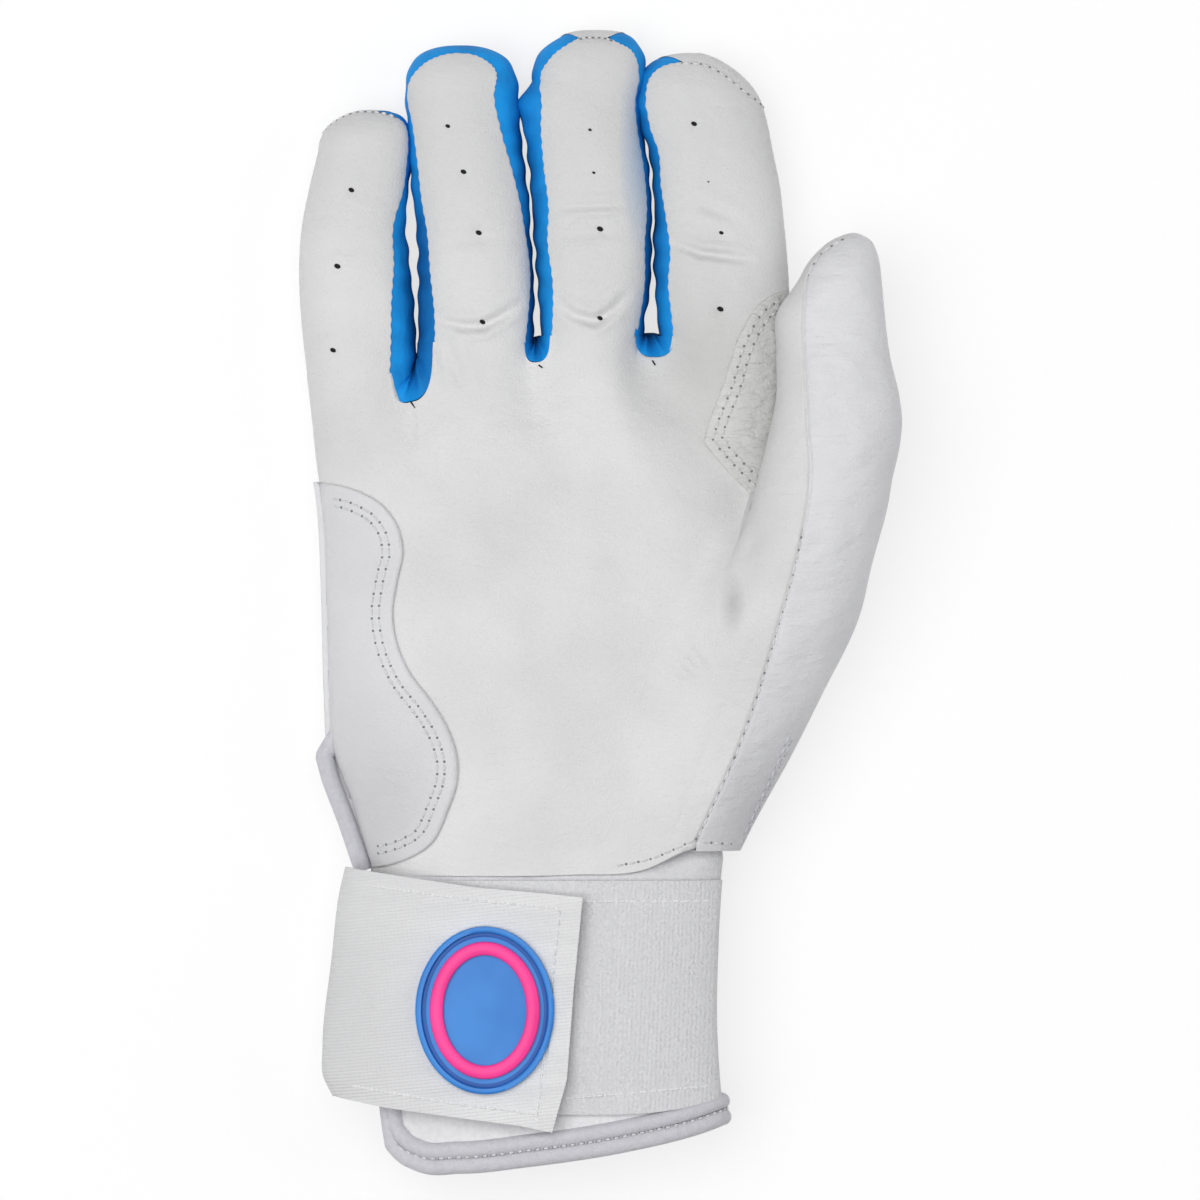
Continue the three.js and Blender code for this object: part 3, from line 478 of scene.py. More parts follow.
class Finger:
    def __init__(self, name, rows, tip, powers, seam, gusset, holes):
        self.name = name
        self.body = f"{name}_finger"
        self.powers = powers
        self.holes = holes
        y, outer_left, seam_left, seam_right, outer_right = np.array(rows, float).T
        self.base, self.dome, self.tip = y[0], y[-1], tip
        self.left = curve(zip(y, outer_left))
        self.right = curve(zip(y, outer_right))
        span = self.dome - self.base
        self.half_height = curve(zip([self.base, self.base + span / 2, self.dome], HALF_HEIGHTS))
        middle, half = (outer_left + outer_right) / 2, (outer_right - outer_left) / 2
        sides = SIDE * (y - self.base) / span
        tips = [(lerp(SIDE, 1 - SIDE, (k + 1) / (len(seam) + 1)), share) for k, share in enumerate(seam)]
        first = list(zip(sides, (middle - seam_left) / half))
        last = list(zip(1 - sides, (seam_right - middle) / half))[::-1]
        self.seam_share = curve(first + tips + last)
        self.gusset_width = curve(gusset)
        joint = next(joint for joint in frame["joints"] if joint["child"] == self.body)
        self.hinge = np.array(joint["pos_m"]) / MM
        self.ahead = np.array([-joint["axis"][1], joint["axis"][0], 0])

    def middle(self, y):
        return (self.left(y) + self.right(y)) / 2

    def half(self, y):
        return (self.right(y) - self.left(y)) / 2

    def skin(self, outline, angle, lift):
        """Points of the finger's skin. outline runs 0 to 1 from the left base over the tip to the right
        base; angle is 0 at the middle of the palm side and pi at the middle of the back."""
        outline, angle, lift = np.broadcast_arrays(outline, angle, lift)
        y = lerp(self.base, self.dome, np.clip(np.minimum(outline, 1 - outline) / SIDE, 0, 1))
        turn = np.pi * (1 - np.clip((outline - SIDE) / (1 - 2 * SIDE), 0, 1))
        power = np.where(turn > np.pi / 2, *self.powers)
        out = bent(np.sin(angle), SECTION)
        across = out * (self.half(y) + lift) * bent(np.cos(turn), power)
        ahead = out * (self.tip - self.dome + lift) * bent(np.sin(turn), power)
        high = self.half_height(y)
        z = BACK_LIFT + high + (high + lift) * bent(np.cos(angle), SECTION)
        return np.stack([self.middle(y) + across, y + ahead, z], -1)

    def height(self, x, y, lift):
        """Height of the palm side over a place in plan, below the tip's dome."""
        high = self.half_height(y)
        share = (x - self.middle(y)) / (self.half(y) + lift)
        return BACK_LIFT + high + (high + lift) * arch(share, SECTION)

    def seam(self, outline):
        """Angle of the front leather's edge."""
        share = np.clip(self.seam_share(outline), 0, SEAM_LIMIT)
        return np.arcsin(share ** (SECTION / 2))

    def back_seam(self, outline):
        return self.seam(outline) + np.radians(np.maximum(self.gusset_width(outline), 0))

    def bend(self, piece):
        """Bakes a piece of the finger's placement into its mesh."""
        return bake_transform(piece)


LITTLE = Finger(
    "little",
    rows=[
        (47.5, -61.3, -61.2, -44.1, -38.8), (54.4, -62.1, -62.0, -43.9, -38.7),
        (62.8, -62.8, -62.7, -43.8, -39.3), (70.1, -63.0, -62.9, -43.4, -40.1),
        (78.5, -62.4, -62.3, -43.5, -40.8), (85.9, -61.0, -60.9, -41.5, -40.2),
        (94.3, -59.0, -58.9, -40.5, -39.5),
    ],
    tip=102.9, powers=(1.9, 3.2), seam=(0.99, 0.95, 0.93, 0.90, 0.92),
    gusset=[(0, 0), (0.5, 0), (0.56, 70), (0.7, 80), (1, 82)],
    holes=[(-52.1, 85.9, 0.9), (-55.0, 69.9, 1.0), (-55.9, 52.3, 0.9)],
)
RING = Finger(
    "ring",
    rows=[
        (54.0, -38.4, -34.4, -15.9, -14.1), (59.6, -38.2, -34.5, -15.3, -14.0),
        (68.7, -38.2, -35.4, -14.9, -14.1), (77.5, -38.5, -36.1, -16.0, -14.7),
        (83.8, -39.3, -37.2, -17.1, -14.8), (91.1, -40.0, -38.0, -18.9, -15.8),
        (99.5, -40.4, -39.1, -21.2, -16.9), (106.5, -41.0, -40.2, -22.3, -17.2),
    ],
    tip=116.6, powers=(2.6, 2.5), seam=(0.82, 0.78, 0.79, 0.725, 0.68),
    gusset=[(0, 82), (0.4, 80), (0.6, 80), (1, 82)],
    holes=[(-31.9, 99.3, 0.75), (-28.6, 89.7, 0.9), (-25.4, 76.9, 0.95), (-24.6, 58.2, 0.9)],
)
MIDDLE = Finger(
    "middle",
    rows=[
        (55.4, -12.6, -9.9, 7.5, 9.0), (59.4, -12.6, -9.7, 8.2, 9.4), (65.9, -13.1, -9.7, 9.1, 10.4),
        (75.4, -13.8, -10.8, 9.2, 10.7), (81.7, -14.3, -10.6, 9.6, 10.9), (90.9, -14.9, -11.6, 8.9, 10.3),
        (98.9, -16.1, -12.2, 7.6, 8.8), (104.8, -17.1, -12.1, 7.2, 8.6), (109.0, -14.4, -12.2, 8.0, 9.7),
    ],
    tip=119.7, powers=(2.1, 3.5), seam=(0.77, 0.76, 0.84, 0.77, 0.81),
    gusset=[(0, 82), (0.4, 78), (0.465, 60), (0.49, 0), (0.51, 0), (0.535, 60), (0.6, 78), (1, 80)],
    holes=[(-2.1, 98.5, 0.55), (-1.3, 89.5, 0.5), (0.0, 77.7, 1.0), (0.0, 59.0, 0.85)],
)
INDEX = Finger(
    "index",
    rows=[
        (55.4, 12.2, 15.6, 39.7, 39.8), (59.6, 12.0, 15.2, 39.6, 39.7), (65.9, 11.6, 14.5, 39.4, 39.5),
        (73.3, 11.2, 14.9, 38.9, 39.0), (79.6, 11.4, 14.1, 38.3, 38.4), (86.9, 11.1, 13.0, 37.5, 37.6),
        (94.3, 10.2, 12.4, 36.0, 36.1), (98.5, 8.7, 10.9, 35.2, 35.3), (103.7, 7.4, 9.8, 33.9, 34.0),
    ],
    tip=114.9, powers=(2.9, 1.5), seam=(0.83, 0.82, 0.79, 0.78, 0.81),
    gusset=[(0, 82), (0.4, 76), (0.46, 50), (0.49, 0), (1, 0)],
    holes=[(19.7, 99.8, 0.9), (22.7, 87.6, 0.3), (25.4, 76.9, 0.7), (25.2, 60.9, 1.0)],
)
FINGERS = [LITTLE, RING, MIDDLE, INDEX]
NOTCHES = [(LITTLE, RING, 9.2), (RING, MIDDLE, 4.9), (MIDDLE, INDEX, 4.5)]


# Hand: outlines and heights along Y
WRIST = -56.5
EQUATOR = 10.5
PALM_ROUND = 2.6
BACK_ROUND = 3.2
BACK_FLAT = 0.2
RIM = 0.3
hand_left = curve([
    (-55.2, -48.1), (-42.2, -52.1), (-30.7, -56.1), (-21.2, -56.7), (-0.2, -57.3), (20.8, -58.4),
    (29, -59.6), (37.6, -60.5), (43.5, -61.15), (47.5, -61.65), (56, -62.2),
])
hand_right = curve([
    (-56, 25.6), (-48, 28.6), (-40, 31), (-30, 33.6), (0, 39), (25, 39.6), (48, 40), (56, 40.15),
])
back_low = curve([(-56.5, 4.2), (-46, 2.4), (-32, 0), (-20, -1.2)])
palm_top = curve([(-56, 29), (-30, 29), (0, 27), (25, 24), (48, 21.8), (60, 21.3)])

# Thumb: middle line and half sizes along Y, its stitched seam, and the valley between it and the palm
THUMB_BASE = 22
ROOT_END = -50.6
THUMB_DOME = 62
THUMB_TIP = 76.85
THUMB_ROUND = 2.2
DOME_ROUND = 2.4
TIP_FADE = 2
LEAST_WIDTH = 0.01
thumb_x = curve([
    (-52.7, 17.2), (-48.5, 19.2), (-31.7, 26.1), (-19.1, 31.8), (-4.4, 38.1), (8, 42.1), (20.6, 46),
    (24.4, 46.8), (32.8, 48.8), (37.4, 49.5), (42.1, 49.7), (51.5, 48.7), (60.9, 48.4), (65.5, 49.8),
    (67.4, 50.3), (70.2, 50.9), (73.5, 51.9), (76.1, 52.8), (76.9, 53),
])
thumb_z = curve([
    (-52.7, 16), (-44, 16.5), (-32, 17), (-19, 18), (0, 21), (22, 25), (45, 25), (68, 23), (77, 22),
])
thumb_wide = curve([
    (-52.7, 11.85), (-48.5, 11.9), (-31.7, 14.15), (-19.1, 14.75), (-4.4, 15.55), (8, 14.6), (20.6, 14),
    (24.4, 13.8), (32.8, 13.6), (37.4, 13.3), (42.1, 12.6), (51.5, 11.5), (60.9, 10.7), (65.5, 8.9),
    (67.4, 8.2), (70.2, 7.3), (73.5, 5.4), (75, 4.1), (76.1, 2.5), (76.6, 1.3), (76.9, 0),
])
thumb_high = curve([
    (-52.7, 11), (-44, 12), (-32, 12.8), (-19, 13), (0, 13.5), (22, 12.4), (45, 11), (62, 9.2), (77, 8.6),
])
thumb_seam = curve([
    (ROOT_END, 20), (-29.6, 29.4), (-4, 37.6), (7.4, 40.7), (16.4, 42.6), (23.3, 43.6), (28, 43.9),
    (35, 43.4), (44.5, 43.0), (51.5, 42.6), (60, 42.6), (65.5, 43.2), (67.4, 43.7), (70.5, 45.2),
    (72.7, 47), (75, 50.4), (76.4, 52.6),
])
VALLEY = [(-57, 10.4), (-19.1, 18.9), (-4.4, 24.2), (8.2, 28.4), (21.8, 32.1)]
valley = curve(VALLEY)
palm_right = curve(VALLEY + [(32.8, 36.4), (42, 38.4), (52, 39.6), (56, 39.8)])


def hand_middle(y):
    return (hand_left(y) + hand_right(y)) / 2


def hand_half(y):
    return (hand_right(y) - hand_left(y)) / 2


# Knuckles: the hand's oval gives way to the fingers' rounds
KNUCKLE_BLEND = 24
KNUCKLE_POINTS = 81
KNUCKLE_TABLE = np.linspace(-70, 50, 961)
VALLEY_REACH = 60
VALLEY_SMOOTH = 2.4
VALLEY_FADE = 7


def knuckle_line(x):
    """How far up the hand the fingers part, at each place across it."""
    ends = [(edge(finger.base), finger.base) for finger in FINGERS for edge in (finger.left, finger.right)]
    return between(ends, x)


def knuckle_rounds(lift, side):
    """Heights across the hand at the fingers' bases: as the fingers give them, and smoothed."""
    stations = []
    for finger in FINGERS:
        high = finger.half_height(finger.base)
        left, right = (min(finger.seam_share(end), 1) for end in (0.0, 1.0))
        shares = np.linspace(-left, right, KNUCKLE_POINTS)
        x = finger.middle(finger.base) + (finger.half(finger.base) + lift) * shares
        stations.append(np.stack([x, BACK_LIFT + high + side * (high + lift) * arch(shares, SECTION)], 1))
    sharp = between(np.concatenate(stations), KNUCKLE_TABLE)
    reach = np.arange(-VALLEY_REACH, VALLEY_REACH + 1) * (KNUCKLE_TABLE[1] - KNUCKLE_TABLE[0])
    weights = hump(reach, VALLEY_SMOOTH)
    smooth = np.convolve(np.pad(sharp, VALLEY_REACH, mode="edge"), weights / weights.sum(), mode="valid")
    return sharp, smooth


def finger_rounds(x, y, lift, side):
    """Height of the fingers' rounds, carried on below the knuckles and smoothed away from them."""
    sharp, smooth = (np.interp(x, KNUCKLE_TABLE, heights) for heights in knuckle_rounds(lift, side))
    line = knuckle_line(x)
    return lerp(smooth, sharp, smoothstep(y, line - VALLEY_FADE, line))


def hand_face(x, y, lift, side, power, crest):
    """Height of one side of the hand: side is 1 for the palm and -1 for the back."""
    rise = arch((x - hand_middle(y)) / hand_half(y), power)
    plain = EQUATOR + (crest - EQUATOR) * rise
    line = knuckle_line(x)
    share = smoothstep(y, line - KNUCKLE_BLEND, line) * smoothstep(rise, 0, RIM)
    return lerp(plain, finger_rounds(x, y, lift, side), share)


def hand_height(x, y, lift):
    """Height of the palm's own skin, without the thumb."""
    return hand_face(x, y, lift, 1, PALM_ROUND, palm_top(y) + lift)


def back_height(x, y, lift):
    return np.maximum(BACK_FLAT - lift, hand_face(x, y, lift, -1, BACK_ROUND, back_low(y) - lift))


def thumb_skin(angle, y, lift):
    """Points of the thumb's skin: angle 0 is its outer side, pi / 2 the palm side."""
    angle, y, lift = np.broadcast_arrays(angle, y, lift)
    lift = lift * smoothstep(THUMB_TIP - y, 0, TIP_FADE)
    close = np.sqrt(1 - np.clip((y - THUMB_DOME) / (THUMB_TIP - THUMB_DOME), 0, 1) ** DOME_ROUND)
    x = thumb_x(y) + (thumb_wide(y) + lift) * bent(np.cos(angle), THUMB_ROUND)
    z = thumb_z(y) + (thumb_high(y) + lift) * close * bent(np.sin(angle), THUMB_ROUND)
    return np.stack([x, y, z], -1)


def thumb_seam_angle(y):
    share = (thumb_seam(y) - thumb_x(y)) / np.maximum(thumb_wide(y), LEAST_WIDTH)
    share = np.clip(share, -SEAM_LIMIT, SEAM_LIMIT)
    return np.arccos(np.sign(share) * np.abs(share) ** (THUMB_ROUND / 2))


# Relief of the palm side's leather: swells as height, size and seed; creases as line, depth and width
SWELLS = [(0.22, 24, 3), (0.06, 8, 5)]
CREASES = [
    ([(-33, 58.4), (-29.5, 57.4), (-24.6, 57.2), (-20, 59.8), (-16.6, 62.2)], 1.1, 1.0),
    ([(-33.6, 75.4), (-17.5, 76.4)], 0.4, 1.8),
    ([(-8.8, 62.2), (-5.5, 59.6), (-1, 58.2), (2.6, 60.6), (5.4, 63.6)], 1.1, 1.0),
    ([(-8.4, 82.0), (6.0, 82.8)], 0.5, 0.9),
    ([(-7.6, 79.6), (5.0, 79.9)], 0.4, 0.8),
    ([(-9.4, 76.8), (7.0, 77.6)], 0.35, 1.6),
    ([(15.5, 74.6), (21, 72.6), (26, 72.0), (31.5, 71.2)], 1.0, 0.9),
    ([(20, 83.5), (29, 79.5)], 0.4, 1.2),
    ([(-60, 56.5), (-46.5, 57.5)], 0.3, 2.6),
    ([(-61, 72.5), (-47, 75)], 0.3, 1.6),
    ([(-32.5, 55), (-30.5, 49), (-28.5, 44.5)], 0.6, 1.3),
    ([(-35.5, 52), (-33.5, 46.5)], 0.5, 1.1),
    ([(-40, 39), (-37, 29), (-30, 22)], 0.5, 3.0),
    ([(-13, 48), (-12, 38), (-7, 30)], 0.45, 3.0),
    ([(9, 60), (10, 52), (13, 44), (19, 36)], 1.6, 5.5),
    ([(32.6, 13.5), (30.8, 9.5)], 0.5, 1.2),
    ([(16.8, -8.6), (22, -15)], 0.6, 1.0),
    ([(15.0, -13), (20.5, -17.5)], 0.45, 0.9),
]
CREASE_FADE = (0.08, 0.92)
CREASE_BANK = 0.4
DIMPLE = (27.6, -0.4)
DIMPLE_DEPTH = 0.9
DIMPLE_WIDTH = (2.0, 3.4)
HOLE_POINTS = 17
HOLE_RINGS = 4
HOLE_RADIUS = 0.5
HOLE_STRETCH = 1.4
HOLE_TILT = math.radians(-25)
HOLE_DEPTH = 0.35
HOLE_DIMPLE = 1.3
HOLE_LIFT = 0.14
RELIEF_RIM = 0.08


def relief(x, y):
    """Creases, soft swelling and the dimples of the air holes."""
    total = swelling(x, y, SWELLS)
    for points, depth, width in CREASES:
        away, along = line_distance(points, x, y)
        fade = np.sin(np.pi * np.clip(lerp(*CREASE_FADE, along), 0, 1))
        total = total - depth * fade * hump(away, width)
        total = total + CREASE_BANK * depth * fade * hump(away - 2 * width, width)
    away = np.hypot((x - DIMPLE[0]) / DIMPLE_WIDTH[0], (y - DIMPLE[1]) / DIMPLE_WIDTH[1])
    total = total - DIMPLE_DEPTH * hump(away, 1)
    for finger in FINGERS:
        for across, up, size in finger.holes:
            total = total - HOLE_DEPTH * size * hump(np.hypot(x - across, y - up), HOLE_DIMPLE)
    return total


def hand_relief(x, y):
    """Relief that fades at the very rim of the hand, where the skin stands upright."""
    return relief(x, y) * smoothstep(1 - np.abs(x - hand_middle(y)) / hand_half(y), 0, RELIEF_RIM)


THUMB_JOIN = 7
CREASE_JOIN = 0.4
CREASE_START = 4
ROOT_SWELL = (-1.5, -0.3)


def root_height(x, y, lift):
    """Height of the palm side's leather: it swells up into the thumb's root, and folds at its crease."""
    hand = hand_height(x, y, lift)
    share = (x - thumb_x(y)) / (thumb_wide(y) + lift)
    low, high = thumb_z(y), thumb_high(y) + lift
    crest = low + high * arch(np.maximum(share, ROOT_SWELL[1]), THUMB_ROUND)
    swell = lerp(hand, soft_max(hand, crest, THUMB_JOIN), smoothstep(share, *ROOT_SWELL))
    thumb = np.where(np.abs(share) < 1, low + high * arch(share, THUMB_ROUND), 0)
    folded = smoothstep(y, CREASE_START, THUMB_BASE)
    fold = soft_max(hand, thumb, lerp(THUMB_JOIN, CREASE_JOIN, folded))
    return lerp(swell, fold, folded) + hand_relief(x, y)


def palm_height(x, y, lift):
    """Height of the palm side's leather: the thumb stands clear of it above its crease."""
    free = hand_height(x, y, lift) + hand_relief(x, y)
    return np.where(y < THUMB_BASE, root_height(x, np.minimum(y, THUMB_BASE), lift), free)


# Notches between the fingers, and the gusset's folds in them.
# Steps here and below are the rows and columns of a grid of points.
FOLD_STEPS = (61, 34)
FOLD_BULGE = 2.2
FOLD_ROUND = 2.6
FOLD_TUCK = 1.0
FOLD_LAP = 0.02
DIP_FADE = 1.3
DIP_ROUND = 0.7
PLEATS = 7
PLEAT_SLANT = 3
PLEAT = 0.9
PINCH = 1.2
PINCH_WIDTH = 0.09


def fold_points(notch, p, q):
    """Points of a gusset's fold: p runs from the left finger round to the right one, q from the palm
    side's seam down to the back's."""
    left, right, depth = notch
    start = left.skin(1.0, lerp(left.seam(1.0), left.back_seam(1.0), q), 0)
    end = right.skin(0.0, lerp(right.seam(0.0), right.back_seam(0.0), q), 0)
    middle, half = (start + end) / 2, (end - start) / 2
    x = middle[..., 0] - half[..., 0] * bent(np.cos(np.pi * p), FOLD_ROUND)
    dip = depth * (1 - q) ** DIP_FADE - FOLD_BULGE * np.sin(np.pi * q)
    y = lerp(start[..., 1], end[..., 1], p) - dip * np.sin(np.pi * p) ** DIP_ROUND
    z = lerp(start[..., 2], end[..., 2], p)
    return np.stack([x, y, z], -1)


def notch_line(notch, count):
    """The palm leather's edge round a notch in plan, lapping over the fold as the fingers' leather does."""
    p = steps(count)
    line = fold_points(notch, p, np.zeros(count))[:, :2]
    line[:, 0] += FRONT_LIFT * np.cos(np.pi * p)
    return line


def gusset_fold(name, notch):
    """A pleated fold, with one more row tucked under the palm leather's edge."""
    rows, columns = FOLD_STEPS
    p, q = np.meshgrid(steps(rows), np.linspace(-FOLD_LAP, 1, columns), indexing="ij")
    grid = fold_points(notch, p, np.maximum(q, 0))
    pleat = PLEAT * np.sin(PLEATS * np.pi * p + PLEAT_SLANT * q) - PINCH * hump(p - 0.5, PINCH_WIDTH)
    grid[..., 2] += np.sin(np.pi * p) * np.sin(np.pi * np.clip(q, 0, 1)) * pleat
    grid[..., 2] -= np.where(q < 0, FOLD_TUCK, 0.0)
    return sheet(name, grid, GUSSET_BLUE)


# Palm and back: one grid each, from the wrist up to the knuckle lines and round the notches
palm_bottom = curve([(-48.3, -57.6), (-36, -57.6), (-5.3, -57.3), (8.4, -56.5), (20, -51.7), (28.4, -52.7)])
back_bottom = curve([(-48.3, WRIST), (8, WRIST), (20, -53.5), (28.4, -51.2)])
PALM_ROWS = 170
RIM_COLUMNS = 30
KNUCKLE_COLUMNS = 26
NOTCH_COLUMNS = 34
BACK_STEPS = (110, 90)
TURNED_DROP = 3.2
TURNED_NOSE = 0.35
TURNED_ROWS = 5
TURNED_RIM = 8


def palm_top_edge():
    """The palm's upper edge in plan, from the little finger's side to the thumb's."""
    ease = eased(RIM_COLUMNS, 1)
    line = []
    for finger in FINGERS:
        shares = steps(KNUCKLE_COLUMNS)
        seams = np.array([-finger.seam_share(0.0), finger.seam_share(1.0)])
        ends = finger.middle(finger.base) + (finger.half(finger.base) + FRONT_LIFT) * seams
        if finger is LITTLE:
            shares, ends[0] = ease, hand_left(finger.base)
        if finger is INDEX:
            shares, ends[1] = 1 - ease[::-1], hand_right(finger.base)
        line.append(np.stack([lerp(*ends, shares), np.full(len(shares), finger.base)], 1))
        line.extend(notch_line(notch, NOTCH_COLUMNS)[1:-1] for notch in NOTCHES if notch[0] is finger)
    return np.concatenate(line)


def turned_edge(grid, nose):
    """A grid of the palm side with its wrist edge turned down on to the cuff, but not at the hand's rim."""
    share = np.linspace(1, 1 / TURNED_ROWS, TURNED_ROWS)[:, None]
    rows = np.repeat(grid[:1], TURNED_ROWS, 0)
    rows[..., 1] -= nose * np.sqrt(np.minimum(1, 2 * share))
    rows[..., 2] -= TURNED_DROP * share * np.clip((grid[0, :, 2] - EQUATOR) / TURNED_RIM, 0, 1)
    return np.concatenate([rows, grid])


def palm_grid(inset):
    top = palm_top_edge()
    start, end = hand_left(top[0, 1]), palm_right(top[-1, 1])
    share = np.clip((top[:, 0] - start) / (end - start), 0, 1)
    below = palm_bottom(lerp(hand_left(WRIST), valley(WRIST), share)) + inset
    y = lerp(below, top[:, 1], steps(PALM_ROWS)[:, None])
    x = lerp(hand_left(y) + inset, palm_right(y) - inset, share)
    grid = np.stack([x, y, palm_height(x, y, FRONT_LIFT - inset)], -1)
    return turned_edge(grid, 0 if inset else TURNED_NOSE)


def back_grid(inset):
    rows, columns = BACK_STEPS
    share = (1 - np.cos(np.linspace(0, np.pi, columns))) / 2
    top = knuckle_line(lerp(LITTLE.left(LITTLE.base), INDEX.right(INDEX.base), share))
    below = back_bottom(lerp(hand_left(WRIST), hand_right(WRIST), share))
    y = lerp(below, top, steps(rows)[:, None])
    x = lerp(hand_left(y) + inset, hand_right(y) - inset, share)
    return np.stack([x, y, back_height(x, y, FRONT_LIFT - inset)], -1)


# Thumb's leather: the swelling at its root, the hand's side under it, its two halves and its base
ROOT_STEPS = (110, 64)
SIDE_STEPS = (40, 30)
THUMB_ROWS = 60
DOME_ROWS = 44
THUMB_COLUMNS = 70
BASE_STEPS = (90, 80)
ROOT_LAP = 3
ROOT_LIFT = 0.03
ROOT_REACH = 4
SIDE_LAP = (1, 4)
UPPER_SIDE = 0.5
SEAM_DIP = 0.5
SEAM_WIDTH = 0.42
SEAM_CROWD = 1.7
THUMB_SWELLS = [(0.3, 15, 8), (0.12, 5, 9)]
SWELL_FADE = 6
BACK_SEAM = math.radians(-75)
BASE_TUCK = math.radians(42)
TUCK_LENGTH = 14
BASE_END = -52.5
CAP_SHARE = 0.72
CAP_ROWS = 6
CAP_RISE = 1.2
thumb_places = np.concatenate([
    np.linspace(THUMB_BASE, THUMB_DOME, THUMB_ROWS),
    THUMB_DOME + (THUMB_TIP - THUMB_DOME) * np.sin(np.linspace(0, np.pi / 2, DOME_ROWS))[1:],
])
base_places = np.linspace(BASE_END, THUMB_BASE, BASE_STEPS[0])


def seam_dip(x, y):
    return SEAM_DIP * hump(x - thumb_seam(y), SEAM_WIDTH)


def thenar_grid():
    """The palm leather's swelling at the thumb's root, from the valley up to the stitched seam."""
    rows, columns = ROOT_STEPS
    share = steps(columns)
    bottom = palm_bottom(lerp(valley(WRIST) - ROOT_LAP, thumb_seam(ROOT_END), share))
    y = lerp(bottom, THUMB_BASE, steps(rows)[:, None])
    x = lerp(valley(y) - ROOT_LAP, thumb_seam(y), share)
    grid = np.stack([x, y, root_height(x, y, FRONT_LIFT) - seam_dip(x, y) + ROOT_LIFT], -1)
    return turned_edge(grid, TURNED_NOSE)


def web_side_grid():
    """The hand's side under the thumb, from the palm's edge down to the back."""
    rows, columns = SIDE_STEPS
    y = np.linspace(THUMB_BASE - SIDE_LAP[1], INDEX.base, rows)[:, None]
    x = lerp(palm_right(y) - SIDE_LAP[0], hand_right(y), np.sin(np.linspace(0, np.pi / 2, columns)))
    return np.stack([x, y + 0 * x, hand_height(x, y, FRONT_LIFT)], -1)


def thumb_surface(angle, y):
    """The thumb's skin with its soft swelling, dipped at the stitched seam and level with its root."""
    grid = thumb_skin(angle, y, FRONT_LIFT)
    x, y = grid[..., 0], grid[..., 1]
    away = np.abs(angle - thumb_seam_angle(y)) * thumb_wide(y)
    swell = swelling(x, y, THUMB_SWELLS) * np.sin(np.clip(angle, 0, np.pi)) ** 2
    grid[..., 2] += (swell - SEAM_DIP * hump(away, SEAM_WIDTH)) * smoothstep(THUMB_TIP - y, 0, SWELL_FADE)
    root = root_height(x, np.minimum(y, THUMB_BASE), FRONT_LIFT) - seam_dip(x, y)
    near = (np.sin(angle) > UPPER_SIDE) & (y < THUMB_BASE + ROOT_REACH)
    level = np.where(near, np.maximum(grid[..., 2], root), grid[..., 2])
    grid[..., 2] = lerp(level, grid[..., 2], smoothstep(y, THUMB_BASE, THUMB_BASE + ROOT_REACH))
    return grid


def thumb_row(angle, y):
    """A line on the thumb's surface, and the way out of its skin along it."""
    outward = thumb_skin(angle, y, FRONT_LIFT + 1) - thumb_skin(angle, y, FRONT_LIFT)
    return thumb_surface(angle, y), outward


def thumb_grid(y, far, count):
    """A strip of the thumb's skin from the stitched seam to a far edge, with more points at the seam."""
    return thumb_surface(lerp(thumb_seam_angle(y), far, steps(count) ** SEAM_CROWD), y)


def thumb_base_grid():
    """The thumb base: its lower edge tucks in under the hand's side, and its wrist end turns in."""
    y = base_places[:, None]
    far = BACK_SEAM - BASE_TUCK * smoothstep(THUMB_BASE - y, 0, TUCK_LENGTH)
    grid = thumb_grid(y, far, BASE_STEPS[1])
    centre = np.array([cuff_middle(BASE_END), BASE_END, CUFF_MIDDLE])
    turned = centre + (grid[0] - centre) * np.linspace(CAP_SHARE, 1, CAP_ROWS)[:, None, None]
    turned[..., 1] += np.linspace(CAP_RISE, 0, CAP_ROWS)[:, None]
    return np.concatenate([turned, grid[1:]])


# Overlays on the palm
HEEL = [
    (-59.4, 24.8), (-51.2, 23.0), (-45.4, 19.7), (-42.4, 15.6), (-41.2, 10.3), (-42.4, 3.8), (-43.3, -2.6),
    (-42.4, -9.0), (-39.5, -15.5), (-35.3, -20.9), (-31.7, -26.8), (-29.7, -33.2), (-29.7, -37.4),
    (-31.7, -43.9), (-35.3, -51.0), (-42.4, -55.0), (-48.3, -56.3),
]
HEEL_COLUMNS = 44
HEEL_RIM = 0.12
HEEL_CROWD = 0.6
HEEL_STEP = 0.9
WEB = [
    (39.3, 65.1), (36, 63.9), (33.2, 61.9), (30.9, 58.8), (28.6, 54.3), (25.6, 44.7), (22.9, 37.8),
    (21.5, 33), (26, 27.7), (31.4, 22.2),
]
WEB_COLUMNS = 40
WEB_CORNER = 7
WEB_STEP = 0.7
WEB_MARGIN = (0.05, 1.3)
WEB_MARGIN_RUN = (63, 57)
EDGE_ROUND = 0.55
EDGE_SHARE = 0.35
OVERLAY_SINK = 0.3


def overlay_height(x, y, lift):
    """Height over the palm side's leather, past the knuckle line of the index finger too."""
    finger = INDEX.height(x, np.maximum(y, INDEX.base), FRONT_LIFT) + hand_relief(x, y)
    palm = palm_height(x, np.minimum(y, INDEX.base), FRONT_LIFT)
    return np.where(y > INDEX.base, finger, palm) + lift


def overlay_grid(x, y, line):
    """A patch's upper face: it rounds down at its cut edge, a little way in from it."""
    away, _ = line_distance(line, x, y)
    rounded = np.sqrt(np.clip(1 - (1 - np.minimum(away / EDGE_ROUND, 1)) ** 2, 0, 1))
    rise = OVERLAY * lerp(EDGE_SHARE, 1, rounded)
    return np.stack([x, y, overlay_height(x, y, OVERLAY_LIFT + rise)], -1)


def under_grid(grid):
    x, y = grid[..., 0], grid[..., 1]
    return np.stack([x, y, overlay_height(x, y, -OVERLAY_SINK)], -1)


